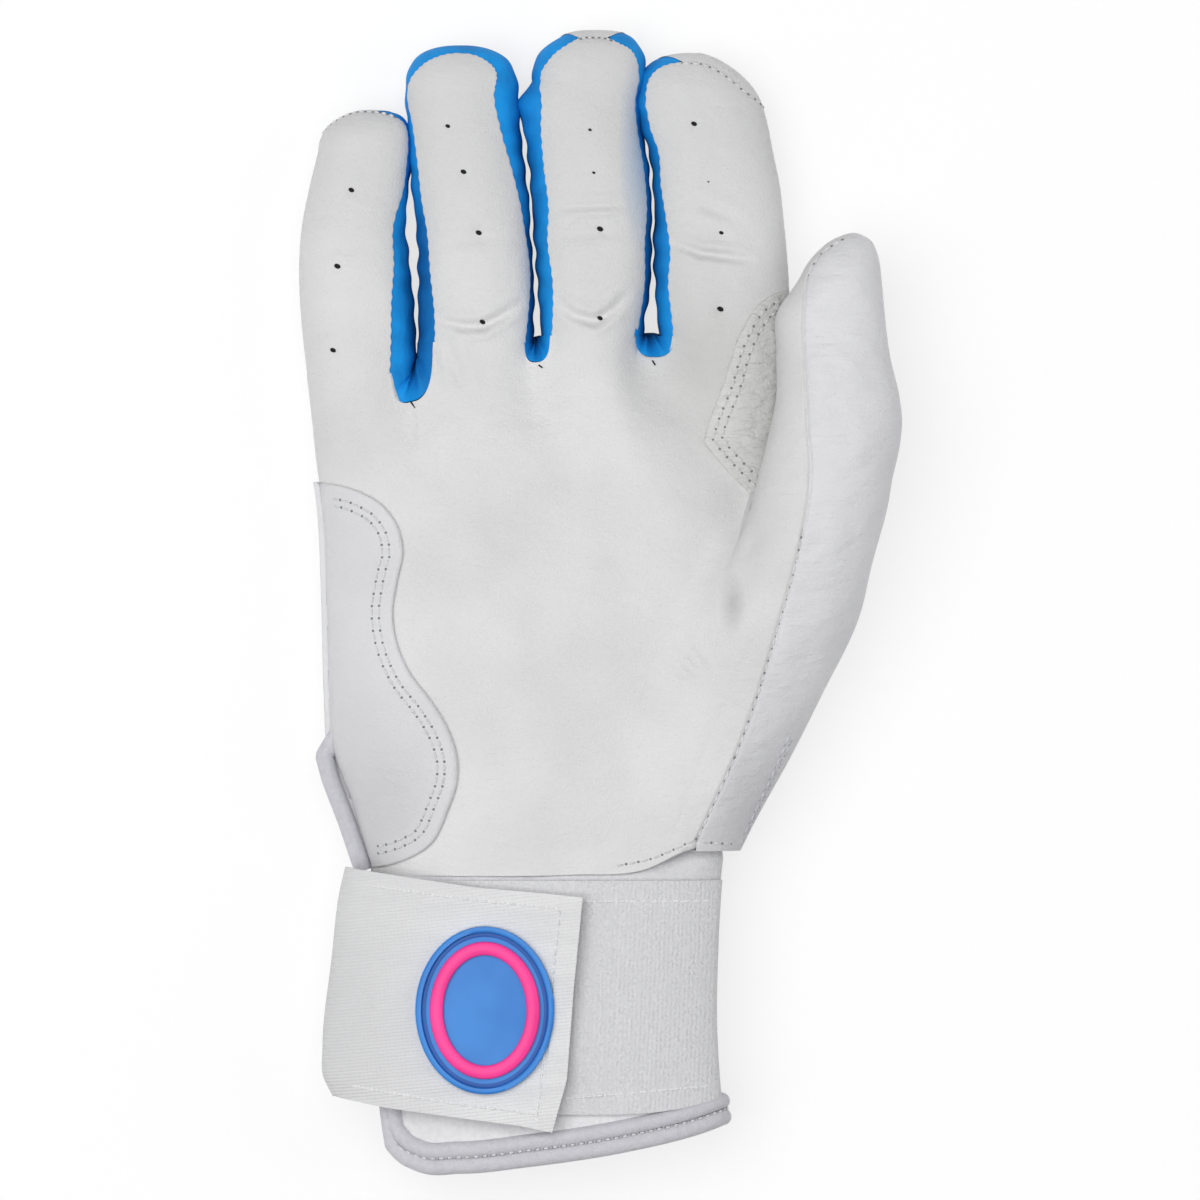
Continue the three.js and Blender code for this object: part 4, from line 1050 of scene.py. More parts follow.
def heel_overlay():
    line = path(HEEL, HEEL_STEP)
    ease = eased(HEEL_COLUMNS, HEEL_CROWD)
    y = np.repeat(line[:, 1:2], len(ease), 1)
    stand_off = OVERLAY_LIFT + OVERLAY
    x = lerp(hand_left(y) - stand_off, line[:, :1], ease)
    grid = overlay_grid(x, y, line)
    rim = arch((x - hand_middle(y)) / (hand_half(y) + stand_off), PALM_ROUND)
    lifted = EQUATOR + (palm_top(y) + stand_off + FRONT_LIFT - EQUATOR) * rim
    grid[..., 2] = np.where(ease < HEEL_RIM, np.minimum(lifted, grid[..., 2]), grid[..., 2])
    return shell("palm_heel_overlay_leather", grid, under_grid(grid), OVERLAY_WHITE)


def web_overlay():
    line = path(WEB, WEB_STEP, smooth=False)
    share = steps(WEB_COLUMNS)
    y = np.repeat(line[:, 1:2], len(share), 1)
    margin = lerp(*WEB_MARGIN, smoothstep(y, *WEB_MARGIN_RUN))
    right = np.where(y > INDEX.base, INDEX.right(y), hand_right(y)) - margin
    grid = overlay_grid(lerp(line[:, :1], right, share), y, line)
    return shell("thumb_web_overlay_leather", grid, under_grid(grid), WEB_GREY)


# Stitches: short threads with a pit between them; the pit is a dark ball, painted shade of the needle hole
THREAD_RADIUS = 0.26
THREAD_RISE = 0.25 * THREAD_RADIUS
PIT_SIZE = (0.3, 0.3, 0.1)
BALL_SIDES = 8
BALL_RINGS = 5
SLOPE_STEP = 0.2


def ball():
    """Points and faces of a unit ball."""
    turn = np.linspace(0, 2 * np.pi, BALL_SIDES, endpoint=False)
    tilt = np.linspace(-np.pi / 2, np.pi / 2, BALL_RINGS)[:, None]
    wide, high = np.cos(tilt), np.sin(tilt)
    points = np.stack([wide * np.cos(turn), wide * np.sin(turn), high + 0 * turn], -1)
    faces = []
    for ring in range(BALL_RINGS - 1):
        for k in range(BALL_SIDES):
            here, after = ring * BALL_SIDES + k, ring * BALL_SIDES + (k + 1) % BALL_SIDES
            faces.append((here, after, after + BALL_SIDES, here + BALL_SIDES))
    return points.reshape(-1, 3), np.array(faces)


BALL_POINTS, BALL_FACES = ball()


def stitches(name, line, outward, spacing, length=0.6, looks=(THREAD, PIT)):
    """A row of stitches along a line on a surface; outward is the surface's normal along it."""
    along = lengths(line)
    places = np.arange(spacing / 2, along[-1], spacing)
    rows = [
        np.stack([np.interp(places, along, axis) for axis in values.T], 1)
        for values in (line, np.gradient(line, along, axis=0), outward)
    ]
    thread = (spacing * length / 2, THREAD_RADIUS, THREAD_RADIUS)
    points, faces, kinds = [], [], []
    for centre, ahead, up in zip(*rows):
        front = unit(ahead)
        top = unit(up - front * (up @ front))
        axes = np.stack([front, np.cross(top, front), top])
        parts = [(centre + top * THREAD_RISE, thread), (centre + front * spacing / 2, PIT_SIZE)]
        for kind, (place, sizes) in enumerate(parts):
            faces.append(BALL_FACES + len(BALL_POINTS) * len(points))
            points.append(place + (BALL_POINTS * sizes) @ axes)
            kinds.append(np.full(len(BALL_FACES), kind))
    return mesh_object(
        name, np.concatenate(points), np.concatenate(faces), *looks, face_looks=np.concatenate(kinds)
    )


def on_surface(line, height, lift):
    """Points of a line in plan laid on a height field, and the field's normals there."""
    x, y = line.T
    slope_x = (height(x + SLOPE_STEP, y, lift) - height(x - SLOPE_STEP, y, lift)) / (2 * SLOPE_STEP)
    slope_y = (height(x, y + SLOPE_STEP, lift) - height(x, y - SLOPE_STEP, lift)) / (2 * SLOPE_STEP)
    outward = unit(np.stack([-slope_x, -slope_y, np.ones_like(x)], 1))
    return np.stack([x, y, height(x, y, lift)], 1), outward


def tube(name, line, outward, radius, look, sides=14):
    """A round roll along a line in space; outward points away from the surface that it lies on."""
    ahead = unit(np.gradient(line, axis=0))
    aside = unit(np.cross(ahead, outward))
    over = np.cross(aside, ahead)
    turn = np.linspace(0, 2 * np.pi, sides + 1)[:, None]
    grid = line[:, None] + radius * (np.cos(turn) * aside[:, None] + np.sin(turn) * over[:, None])
    return sheet(name, grid, look)


# Cuff: angles run round it in degrees, from the thumb's side over the palm side
CUFF_TOP = -42
CUFF_TUCK = 2.6
TUCK_RUN = 5.6
TUCK_RIGHT = -54
TUCK_SLANT = (14, 26)
CUFF_ROUND = 2.5
CUFF_MIDDLE = 16.9
CUFF_HALF_HEIGHT = 11.6
CUFF_FABRIC = 1.4
CUFF_SLIT = (156, 203)
CUFF_WAVE = 0.15
CUFF_GRID = (60, 200)
WAVE_SIZE = 16
WAVE_SEED = 4
SLIT_TONGUE = (148, 211)
TONGUE_END = -100
TONGUE_GAP = 0.3
TONGUE_GRID = (40, 30)
BAND_TOP = -98
BAND_LIFT = 0.2
BAND_ANGLES = (1, CUFF_SLIT[0] - 1)
BAND_GRID = (24, 150)
LOOP_TOP = -58.6
LOOP_ANGLES = (1, 155)
LOOP_THIN = 24
LOOP_WAVE = 0.2
LOOP_EDGE = 0.1
LOOP_GRID = (70, 150)
HEM_POINTS = 420
HEM_PLACE = -112
HEM_RISE = 8
HEM_RISE_POINTS = 16
HEM_STRAIGHT = (-30, 40)
HEM_LIFT = 0.2
HEM_GAP = 2
cuff_left = curve([(-118, -45.4), (-108, -47.0), (-85, -48.3), (-56, -46.4)])
cuff_right = curve([
    (-116, 26.2), (-108, 25.6), (-101, 24.9), (-84, 24.2), (-76, 24.4), (-58, 25.4), (-49, 26.4),
])
hem_edge = curve([
    (-46.8, -98), (-45.0, -106), (-43.5, -110.5), (-41.6, -113.8), (-38.3, -116.0), (-30, -116.4),
    (-16, -115.0), (4.8, -111.9), (20, -108.4), (25.5, -106.6),
])
loop_margin = curve([(-50, 13), (-30, 9.5), (-8, 6.6), (14, 3.4), (26, 2.8)])


def cuff_middle(y):
    return (cuff_right(y) + cuff_left(y)) / 2


def cuff_skin(angle, y, lift):
    half = (cuff_right(y) - cuff_left(y)) / 2 + lift
    x = cuff_middle(y) + half * bent(np.cos(angle), CUFF_ROUND)
    z = CUFF_MIDDLE + (CUFF_HALF_HEIGHT + lift) * bent(np.sin(angle), CUFF_ROUND)
    return np.stack([x, y + 0 * x, z], -1)


def cuff_row(angle, y, lift):
    """A line round the cuff, and the way out of the cuff along it."""
    line = cuff_skin(angle, y, lift)
    return line, cuff_skin(angle, y, lift + 1) - line


def hem_across(angle):
    """Place across the glove of an angle at the cuff's hem."""
    return cuff_skin(angle, HEM_PLACE, 0)[..., 0]


def cuff_bottom(angle):
    """The cuff's lower edge: it slants, and its corners at the slit are rounded."""
    return hem_edge(hem_across(angle))


def loop_bottom(angle):
    """The loop tape's lower edge, a margin above the hem."""
    across = hem_across(angle)
    return hem_edge(np.clip(across, *HEM_STRAIGHT)) + loop_margin(across)


def tongue_bottom(angle):
    return np.full(np.shape(angle), TONGUE_END)


def cuff_layer(angles, top, bottom, outer, size, waves=0.0):
    """A layer of the cuff; it tucks in under the palm's leather at its top."""
    rows, columns = size
    angle = np.radians(np.linspace(*angles, columns))
    y = lerp(top, bottom(angle), steps(rows)[:, None])
    angle = np.broadcast_to(angle, y.shape)
    start = lerp(LOOP_TOP, TUCK_RIGHT, smoothstep(cuff_skin(angle, y, 0)[..., 0], *TUCK_SLANT))
    grid = cuff_skin(angle, y, outer - CUFF_TUCK * smoothstep(y, start, start + TUCK_RUN))
    grid[..., 2] += waves * lumps(grid[..., 0], grid[..., 1], WAVE_SIZE, WAVE_SEED) * np.sin(angle) ** 2
    return grid


def hem_line(inside):
    """A line that follows the cuff's lower edge at a distance inside it, and the way out of the cuff."""
    angles = (CUFF_SLIT[1] + HEM_GAP, CUFF_SLIT[0] + 360 - HEM_GAP)
    angle = np.radians(np.linspace(*angles, HEM_POINTS))
    arc = lengths(cuff_skin(angle, HEM_PLACE, 0))
    edge = np.stack([arc, cuff_bottom(angle)], 1)
    up = np.linspace(HEM_RISE, HEM_RISE / HEM_RISE_POINTS, HEM_RISE_POINTS)
    rise = np.stack([0 * up, up], 1)
    line = offset(np.concatenate([edge[0] + rise, edge, edge[-1] + rise[::-1]]), inside)
    return cuff_row(np.interp(line[:, 0], arc, angle), line[:, 1], HEM_LIFT)


# Strap: its edges in plan, and where it folds round the glove's side
STRAP_TOP = [(-60, -55.0), (-53.4, -55.9), (-26, -59.9), (-10.1, -61.3), (-3.6, -62)]
STRAP_BOTTOM = [(-60, -102.4), (-55, -104), (-44.5, -106), (-29.2, -108), (-16.8, -109.6), (-10, -111)]
STRAP_END = [(-111, -10.0), (-100, -6.9), (-81.5, -5.5), (-62, -3.6)]
STRAP_STEPS = (80, 90)
STRAP_ROUNDS = 3
STRAP_SPAN = (-58, -6)
STRAP_CROWD = 0.75
STRAP_SWELLS = [(0.18, 22, 12)]
SWELL_START = (2, 12)
SEWN_STEPS = (30, 40)
SEWN_ANGLES = (180, 262)
SEWN_SPAN = (-57, -104)
strap_left = curve([
    (-104, -56.0), (-100, -58.0), (-93.8, -58.2), (-75.2, -56.3), (-60, -54.4), (-55, -53.2),
])


def strap_fold(y, lift):
    """How far left the strap's fold reaches; lift is the stand-off from the cuff's skin."""
    return strap_left(y) - lift + STRAP_FACE


def strap_height(x, y, lift):
    """Height of the strap's path over the cuff."""
    left, right = strap_fold(y, lift), cuff_right(y) + lift
    share = (x - (left + right) / 2) / ((right - left) / 2)
    swell = swelling(x, y, STRAP_SWELLS) * smoothstep(x - left, *SWELL_START)
    return CUFF_MIDDLE + (CUFF_HALF_HEIGHT + lift) * arch(share, CUFF_ROUND) + swell


def strap_grid(lift):
    """A face of the strap; its slanted edges are met in a few rounds of place across and place along."""
    rows, columns = STRAP_STEPS
    share = eased(columns, STRAP_CROWD)
    down = steps(rows)[:, None]
    x = lerp(*STRAP_SPAN, share) + 0 * down
    for _ in range(STRAP_ROUNDS):
        y = lerp(between(STRAP_TOP, x), between(STRAP_BOTTOM, x), down)
        x = lerp(strap_fold(y, lift), between(STRAP_END, y), share)
    return np.stack([x, y, strap_height(x, y, lift)], -1)


def sewn_end_grid(lift):
    rows, columns = SEWN_STEPS
    angle = np.radians(np.linspace(*SEWN_ANGLES, columns))
    y = np.linspace(*SEWN_SPAN, rows)[:, None]
    grid = cuff_skin(np.broadcast_to(angle, SEWN_STEPS), y, lift)
    grid[..., 0] += (strap_fold(y, lift) - grid[:, :1, 0]) * np.cos(angle) ** 2
    return grid


# Emblem: a plain oval patch of moulded rubber with a raised rim and a pink ring.
# Heights are those of a band's foot and top over the strap.
EMBLEM_PLACE = (-24.0, -85.5)
EMBLEM_HALF = (14.5, 17.5)
PLATE_RINGS = 14
PLATE_INSET = 0.3
PLATE_HEIGHT = 0.9
RIM_WIDTH = 1.3
RIM_HEIGHTS = (0.05, 1.7)
RIM_ROUND = 0.35
GROOVE_WIDTH = 0.9
GROOVE_HEIGHTS = (0.8, 0.98)
GROOVE_ROUND = 0.03
RING_HALF = (11.5, 14.3)
RING_WIDTH = 2.8
RING_HEIGHTS = (0.85, 1.9)
RING_ROUND = 0.3
BAND_CORNER = 0.12
BAND_CROWN = 0.05
OVAL_TURN = np.linspace(0, 2 * np.pi, 121)[:, None]


def shrink(half, by):
    return tuple(side - by for side in half)


def oval(half, lift):
    """Points of ovals on the strap; half holds their half axes."""
    x = EMBLEM_PLACE[0] + half[0] * np.cos(OVAL_TURN)
    y = EMBLEM_PLACE[1] + half[1] * np.sin(OVAL_TURN)
    return np.stack([x, y, strap_height(x, y, STRAP_FACE) + lift], -1)


def oval_band(outer, width, heights, round_over):
    """A band inside an oval on the strap, with its upper edges rounded over."""
    low, high = heights
    profile = [
        (0, low), (0, high - round_over), (BAND_CORNER, high), (0.5, high + BAND_CROWN),
        (1 - BAND_CORNER, high), (1, high - round_over), (1, low),
    ]
    rows = [oval(shrink(outer, width * share), lift) for share, lift in profile]
    return np.concatenate(rows + rows[:1], 1)


# Building the pieces: first the fingers' leather and gussets
SIDE_POINTS = 110
TIP_POINTS = 101
FRONT_COLUMNS = 40
BACK_COLUMNS = 30
GUSSET_COLUMNS = 26
FRONT_CROWD = 0.9
EDGE_TURNS = (0.004, 0.006)
EDGE_LIFTS = (0.28, 0.05, -0.3)
SEAM_PITCH = 2.2
SEAM_WAVE = 0.012
TIP_RUN = 34
BACK_SKIN = 0.12
GUSSET_LAP = 0.06
GUSSET_LEAST = 4
RIPPLE = 0.16
RIPPLE_RATE = 1.1
RIPPLE_SHIFT = 2.0
GUSSET_SWELL = 0.2
GUSSET_SWELL_SIZE = 7
GUSSET_SEED = 6
finger_outline = np.concatenate([
    np.linspace(0, SIDE, SIDE_POINTS)[:-1],
    np.linspace(SIDE, 1 - SIDE, TIP_POINTS),
    np.linspace(1 - SIDE, 1, SIDE_POINTS)[1:],
])[:, None]


def dress(piece, slot, *nodes):
    """Hides the solids that a piece stands for, and hands the piece back; its slot is not used."""
    if nodes:
        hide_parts(*nodes)
    return piece


def add(body, piece, slot, *nodes):
    """Dresses a piece that rides on one body."""
    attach(dress(piece, slot, *nodes), body)


def build_front(finger):
    run = (2 * (finger.dome - finger.base) + TIP_RUN) / SEAM_PITCH
    wave = np.sin(np.linspace(0, 2 * np.pi * run, len(finger_outline)))[:, None]
    edge = finger.seam(finger_outline) + SEAM_WAVE * wave
    inside = edge * steps(FRONT_COLUMNS) ** FRONT_CROWD
    angle = np.concatenate([inside] + [edge + turn for turn in EDGE_TURNS], 1)
    lift = np.concatenate([np.full(FRONT_COLUMNS - 1, FRONT_LIFT), EDGE_LIFTS])
    grid = finger.skin(finger_outline, angle, lift)
    grid[..., 2] += relief(grid[..., 0], grid[..., 1]) * np.sqrt(np.cos(np.clip(angle, 0, np.pi / 2)))
    look = MIDDLE_WHITE if finger is MIDDLE else PALM_WHITE
    front = sheet(f"{finger.name}_finger_front_leather", grid, look)
    finger.bend(dress(front, "palm_leather", f"{finger.name}_finger_front"))


def build_back(finger):
    angle = lerp(np.pi, finger.back_seam(finger_outline), steps(BACK_COLUMNS))
    grid = finger.skin(finger_outline, angle, BACK_SKIN)
    back = sheet(f"{finger.name}_finger_back_leather", grid, BACK_WHITE)
    finger.bend(dress(back, "back_leather", f"{finger.name}_finger_back"))


def build_gusset(finger, side, name):
    """One gusset of a finger: side is 0 for the left one and 1 for the right one."""
    node = f"{finger.name}_gusset_{name}"
    if node not in frame["nodes"]:
        return
    outline = finger_outline[:, 0]
    own = (outline <= 0.5) if side == 0 else (outline >= 0.5)
    own &= finger.gusset_width(outline) > GUSSET_LEAST
    outline = finger_outline[own]
    share = steps(GUSSET_COLUMNS)
    angle = lerp(finger.seam(outline) - GUSSET_LAP, finger.back_seam(outline) + GUSSET_LAP, share)
    grid = finger.skin(outline, angle, 0.0)
    x, y, z = np.moveaxis(grid.copy(), -1, 0)
    ripple = RIPPLE * np.sin(y * RIPPLE_RATE + RIPPLE_SHIFT * side)
    ripple = ripple + GUSSET_SWELL * lumps(y, z, GUSSET_SWELL_SIZE, GUSSET_SEED + side)
    grid[..., 0] += ripple * np.sin(np.pi * share) * np.sign(x - finger.middle(y))
    finger.bend(dress(sheet(f"{node}_fabric", grid, GUSSET_BLUE), "gusset_blue", node))


def build_holes(finger):
    # Dark discs just above the leather: painted shadow of the air holes
    turn = np.linspace(0, 2 * np.pi, HOLE_POINTS)[:, None]
    share = steps(HOLE_RINGS)
    points, faces = [], []
    for across, up, size in finger.holes:
        along = HOLE_RADIUS * size * HOLE_STRETCH * share * np.cos(turn)
        aside = HOLE_RADIUS * size * share * np.sin(turn)
        x = across + along * math.cos(HOLE_TILT) - aside * math.sin(HOLE_TILT)
        y = up + along * math.sin(HOLE_TILT) + aside * math.cos(HOLE_TILT)
        height = finger.height(x, y, FRONT_LIFT) + relief(x, y) + HOLE_LIFT
        faces.append(grid_faces(len(turn), len(share), sum(map(len, points))))
        points.append(np.stack([x, y, height], -1).reshape(-1, 3))
    piece = mesh_object(f"{finger.name}_air_holes", np.concatenate(points), np.concatenate(faces), HOLE)
    finger.bend(dress(piece, "palm_leather"))


# Stitches over a fingertip: start and end along the finger's outline, and spacing
TIP_STITCHES = [(LITTLE, 0.425, 0.545, 1.6), (MIDDLE, 0.482, 0.522, 1.3), (INDEX, 0.475, 0.60, 2.0)]
TIP_ROW_POINTS = 60
TIP_INSET = 0.05


def tip_stitches(finger, start, end, spacing):
    outline = np.linspace(start, end, TIP_ROW_POINTS)
    angle = finger.seam(outline) - TIP_INSET
    line = finger.skin(outline, angle, FRONT_LIFT)
    outward = finger.skin(outline, angle, FRONT_LIFT + 1) - line
    piece = stitches(f"{finger.name}_tip_stitches", line, outward, spacing)
    finger.bend(dress(piece, "palm_leather"))


def build_hand():
    palm = shell("palm_leather_panel", palm_grid(0), palm_grid(LEATHER), PALM_WHITE)
    add("hand", palm, "palm_leather", "palm_panel")
    back = shell("back_leather_panel", back_grid(0), back_grid(LEATHER), BACK_WHITE)
    add("hand", back, "back_leather", "back_panel")
    add("hand", sheet("thumb_root_leather", thenar_grid(), PALM_WHITE), "palm_leather")
    add("hand", sheet("thumb_side_leather", web_side_grid(), PALM_WHITE), "palm_leather")
    for notch in NOTCHES:
        node = f"gusset_fold_{notch[0].name}_{notch[1].name}"
        add("hand", gusset_fold(f"{node}_fabric", notch), "gusset_blue", node)
    add("hand", heel_overlay(), "overlay_leather", "palm_heel_overlay")
    INDEX.bend(dress(web_overlay(), "overlay_leather", "thumb_web_overlay", "index_web_overlay"))


# Rows of stitches: insets from a patch's edge, lines in plan, spacings, and spans along Y.
# A span ends with its count of points.
HEEL_ROWS = (2.9, 4.4)
HEEL_SPACING = 2.6
HEEL_CLEAR = 2
WEB_ROWS = (1.9, 3.6)
WEB_SPACING = 2.3
WEB_CLEAR = 4
WEB_MITRE = 3
ROW_STEP = 0.5
THREAD_ENDS = [[(-39.6, 41.4), (-38.6, 40.2)], [(-12.8, 49.2), (-12.0, 48.6)], [(11.0, 50.2), (11.6, 49.2)]]
THREAD_END_STEP = 0.2
THREAD_END_SIDES = 6
THREAD_END_RADIUS = 0.17
THREAD_END_LIFT = 0.1
SEAM_SPACING = 2.7
TIP_SEAM = (65.5, 75.5, 80)
ROOT_SEAM = (-50, 13, 200)
WRIST_ROWS = [
    [(2.9, -55.6), (11, -53.9), (16, -51.8), (19.4, -50.2)],
    [(20.8, -50.5), (27.2, -51.0)],
]
WRIST_STEP = 0.4
WRIST_SPACING = 2.6
OUTER_ROWS = [(38, 24), (31, 17)]
OUTER_SPAN = (-28, -50, 120)


def build_overlay_stitches():
    lift = OVERLAY_LIFT + OVERLAY
    for number, inside in enumerate(HEEL_ROWS):
        line = offset(path(HEEL, ROW_STEP), -inside)
        line = line[line[:, 0] > hand_left(line[:, 1]) + HEEL_CLEAR]
        row = stitches(f"heel_stitches_{number}", *on_surface(line, overlay_height, lift), HEEL_SPACING)
        add("hand", row, "overlay_leather")
    for number, inside in enumerate(WEB_ROWS):
        upper = offset(path(WEB[:WEB_CORNER + 1], ROW_STEP), inside)
        lower = offset(path(WEB[WEB_CORNER:], ROW_STEP), inside)
        mitre = WEB_MITRE * number
        line = np.concatenate([upper[WEB_CLEAR:-WEB_MITRE - mitre], lower[WEB_CLEAR + mitre:]])
        row = stitches(f"web_stitches_{number}", *on_surface(line, overlay_height, lift), WEB_SPACING)
        INDEX.bend(dress(row, "overlay_leather"))


def build_thread_ends():
    """Loose ends of the gussets' thread below the notches."""
    for number, ends in enumerate(THREAD_ENDS):
        line, out = on_surface(path(ends, THREAD_END_STEP), palm_height, FRONT_LIFT)
        line = line + THREAD_END_LIFT * out
        end = tube(f"thread_end_{number}", line, out, THREAD_END_RADIUS, HOLE, THREAD_END_SIDES)
        add("hand", end, "palm_leather")


def seam_stitches(name, span):
    y = np.linspace(*span)
    return stitches(name, *thumb_row(thumb_seam_angle(y), y), SEAM_SPACING)


def build_thumb():
    base = sheet("thumb_base_leather", thumb_base_grid(), THUMB_WHITE)
    add("hand", base, "palm_leather", "thumb_base_panel")
    y = thumb_places[:, None]
    outer = sheet("thumb_outer_leather", thumb_grid(y, BACK_SEAM, THUMB_COLUMNS), THUMB_WHITE)
    inner_skin = thumb_grid(y, BACK_SEAM + 2 * np.pi, THUMB_COLUMNS)
    inner = sheet("thumb_inner_leather", inner_skin, PALM_WHITE)
    pieces = [
        dress(outer, "palm_leather", "thumb_outer_panel"),
        dress(inner, "palm_leather", "thumb_inner_panel"),
        dress(seam_stitches("thumb_seam_stitches", TIP_SEAM), "palm_leather"),
    ]
    for piece in pieces:
        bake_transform(piece)
    add("hand", seam_stitches("thumb_root_stitches", ROOT_SEAM), "palm_leather")


def build_wrist_stitches():
    """Rows along the palm's and the thumb base's wrist edges, and down the thumb base's outer side."""
    for number, points in enumerate(WRIST_ROWS):
        line = on_surface(path(points, WRIST_STEP), root_height, FRONT_LIFT)
        add("hand", stitches(f"wrist_stitches_{number}", *line, WRIST_SPACING), "palm_leather")
    y = np.linspace(*OUTER_SPAN)
    for number, ends in enumerate(OUTER_ROWS):
        line = thumb_row(np.radians(np.linspace(*ends, len(y))), y)
        name = f"thumb_side_stitches_{number}"
        # These rows' thread takes the darker piping colour: painted shade, like the shade painted on the
        # thumb's base
        add("hand", stitches(name, *line, WRIST_SPACING, looks=(PIPING, HEM_PIT)), "palm_leather")


def build_cuff():
    around = (CUFF_SLIT[1], CUFF_SLIT[0] + 360)
    outer = cuff_layer(around, CUFF_TOP, cuff_bottom, 0, CUFF_GRID, CUFF_WAVE)
    inner = cuff_layer(around, CUFF_TOP, cuff_bottom, -CUFF_FABRIC, CUFF_GRID)
    add("hand", shell("cuff_fabric_tube", outer, inner, CUFF_GREY), "cuff_fabric", "cuff_tube")
    tongue = cuff_layer(SLIT_TONGUE, CUFF_TOP, tongue_bottom, -CUFF_FABRIC - TONGUE_GAP, TONGUE_GRID)
    add("hand", sheet("cuff_slit_tongue", tongue, CUFF_GREY), "cuff_fabric")
    thin = smoothstep(np.linspace(*LOOP_ANGLES, LOOP_GRID[1]), 0, LOOP_THIN)
    face = LOOP_EDGE + (LOOP_LIFT + LOOP_TAPE) * thin
    outer = cuff_layer(LOOP_ANGLES, LOOP_TOP, loop_bottom, face, LOOP_GRID, LOOP_WAVE)
    inner = cuff_layer(LOOP_ANGLES, LOOP_TOP, loop_bottom, LOOP_LIFT * thin, LOOP_GRID)
    add("hand", shell("cuff_loop_tape", outer, inner, LOOP_PILE), "loop_tape", "cuff_loop_panel")
    band = cuff_layer(BAND_ANGLES, BAND_TOP, cuff_bottom, BAND_LIFT, BAND_GRID)
    add("hand", sheet("cuff_lower_band", band, BAND_WHITE), "cuff_fabric")


# Cuff's trim: stitches round the loop tape, with their span of angles, and the rolls of the hem and the slit
LOOP_ROW = (28, 100, 200)
LOOP_ROWS = {"top": [(-20, -62.9), (24, -62.9)], "bottom": [(-20, -105.2), (24, -101.4)]}
LOOP_SPACING = 2.3
LOOP_STITCH = 0.8
HEM_RADIUS = 1.75
HEM_ROLLS = [("outer", -1.7, ["cuff_hem_piping"]), ("inner", 1.6, [])]
HEM_SPACING = 1.85
HEM_STITCH_LIFT = 1.0
SLIT_RADIUS = 1.9
SLIT_LINE = [(-54.4, -27), (-57.9, -32.8), (-56.6, -37.6), (-53.2, -46.5), (-49.7, -56.8)]
SLIT_HEIGHT = (13.0, 11.7)
SLIT_OUT = (-1.0, 0, 0.6)


def build_cuff_trim():
    """The loop tape's stitches, the two rolls of the hem with stitches between them, and the slit's roll."""
    angle = np.radians(np.linspace(*LOOP_ROW))
    for name, ends in LOOP_ROWS.items():
        line = cuff_row(angle, between(ends, hem_across(angle)), LOOP_LIFT + LOOP_TAPE)
        looks = (WHITE_THREAD, WHITE_THREAD)
        row = stitches(f"loop_{name}_stitches", *line, LOOP_SPACING, LOOP_STITCH, looks)
        add("hand", row, "loop_tape")
    for name, inside, nodes in HEM_ROLLS:
        roll = tube(f"cuff_hem_roll_{name}", *hem_line(inside), HEM_RADIUS, PIPING)
        add("hand", roll, "piping", *nodes)
    line, out = hem_line(0)
    line = line + HEM_STITCH_LIFT * out
    add("hand", stitches("cuff_hem_stitches", line, out, HEM_SPACING, looks=(THREAD, HEM_PIT)), "piping")
    plan = path(SLIT_LINE, ROW_STEP, smooth=False)
    line = np.column_stack([plan, np.linspace(*SLIT_HEIGHT, len(plan))])
    roll = tube("slit_piping_roll", line, np.tile(SLIT_OUT, (len(plan), 1)), SLIT_RADIUS, PIPING)
    add("hand", roll, "piping", "slit_piping")


STRAP_END_FOLD = 0.6
STRAP_FOLD_COLUMNS = 6
STRAP_ROWS = {
    "end": [(-8.4, -64.5), (-10.4, -84), (-13.2, -107.5)],
    "top": [(-48, -59.6), (-26, -62.6), (-9.5, -64.2)],
    "bottom": [(-52, -101.4), (-29.2, -105.2), (-14, -107.0)],
}
STRAP_SPACING = 2.0
STRAP_STITCH = 0.75
HOOK_POINTS = 40
HOOK_MARGIN = 4
HOOK_SINK = 0.1


def build_strap():
    tab = shell("strap_tab_elastic", strap_grid(STRAP_FACE), strap_grid(STRAP_LIFT), STRAP_WEAVE)
    dress(tab, "strap_elastic", "strap_tab")
    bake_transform(tab)
    sewn = shell("strap_sewn_elastic", sewn_end_grid(STRAP_FACE), sewn_end_grid(STRAP_LIFT), STRAP_WEAVE)
    add("hand", sewn, "strap_elastic", "strap_sewn_end")
    rows = [strap_grid(STRAP_FACE + side)[:, -STRAP_FOLD_COLUMNS:] for side in (STRAP_END_FOLD, 0)]
    add("strap", shell("strap_end_fold_elastic", *rows, STRAP_WEAVE), "strap_elastic")
    low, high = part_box("hook_patch")
    share = steps(HOOK_POINTS)
    x, y = np.meshgrid(lerp(low[0], high[0], share) / MM, lerp(high[1], low[1], share) / MM)
    y = np.clip(y, between(STRAP_BOTTOM, x) + HOOK_MARGIN, between(STRAP_TOP, x) - HOOK_MARGIN)
    heights = [strap_height(x, y, HOOK_LIFT + side) - HOOK_SINK for side in (HOOK_TAPE, 0)]
    faces = [np.stack([x, y, height], -1) for height in heights]
    add("strap", shell("hook_tape_patch", *faces, HOOK_WHITE), "hook_tape", "hook_patch")
    for name, ends in STRAP_ROWS.items():
        line = on_surface(path(ends, ROW_STEP, smooth=False), strap_height, STRAP_FACE)
        looks = (WHITE_THREAD, WHITE_THREAD)
        row = stitches(f"strap_{name}_stitches", *line, STRAP_SPACING, STRAP_STITCH, looks)
        add("strap", row, "strap_elastic")


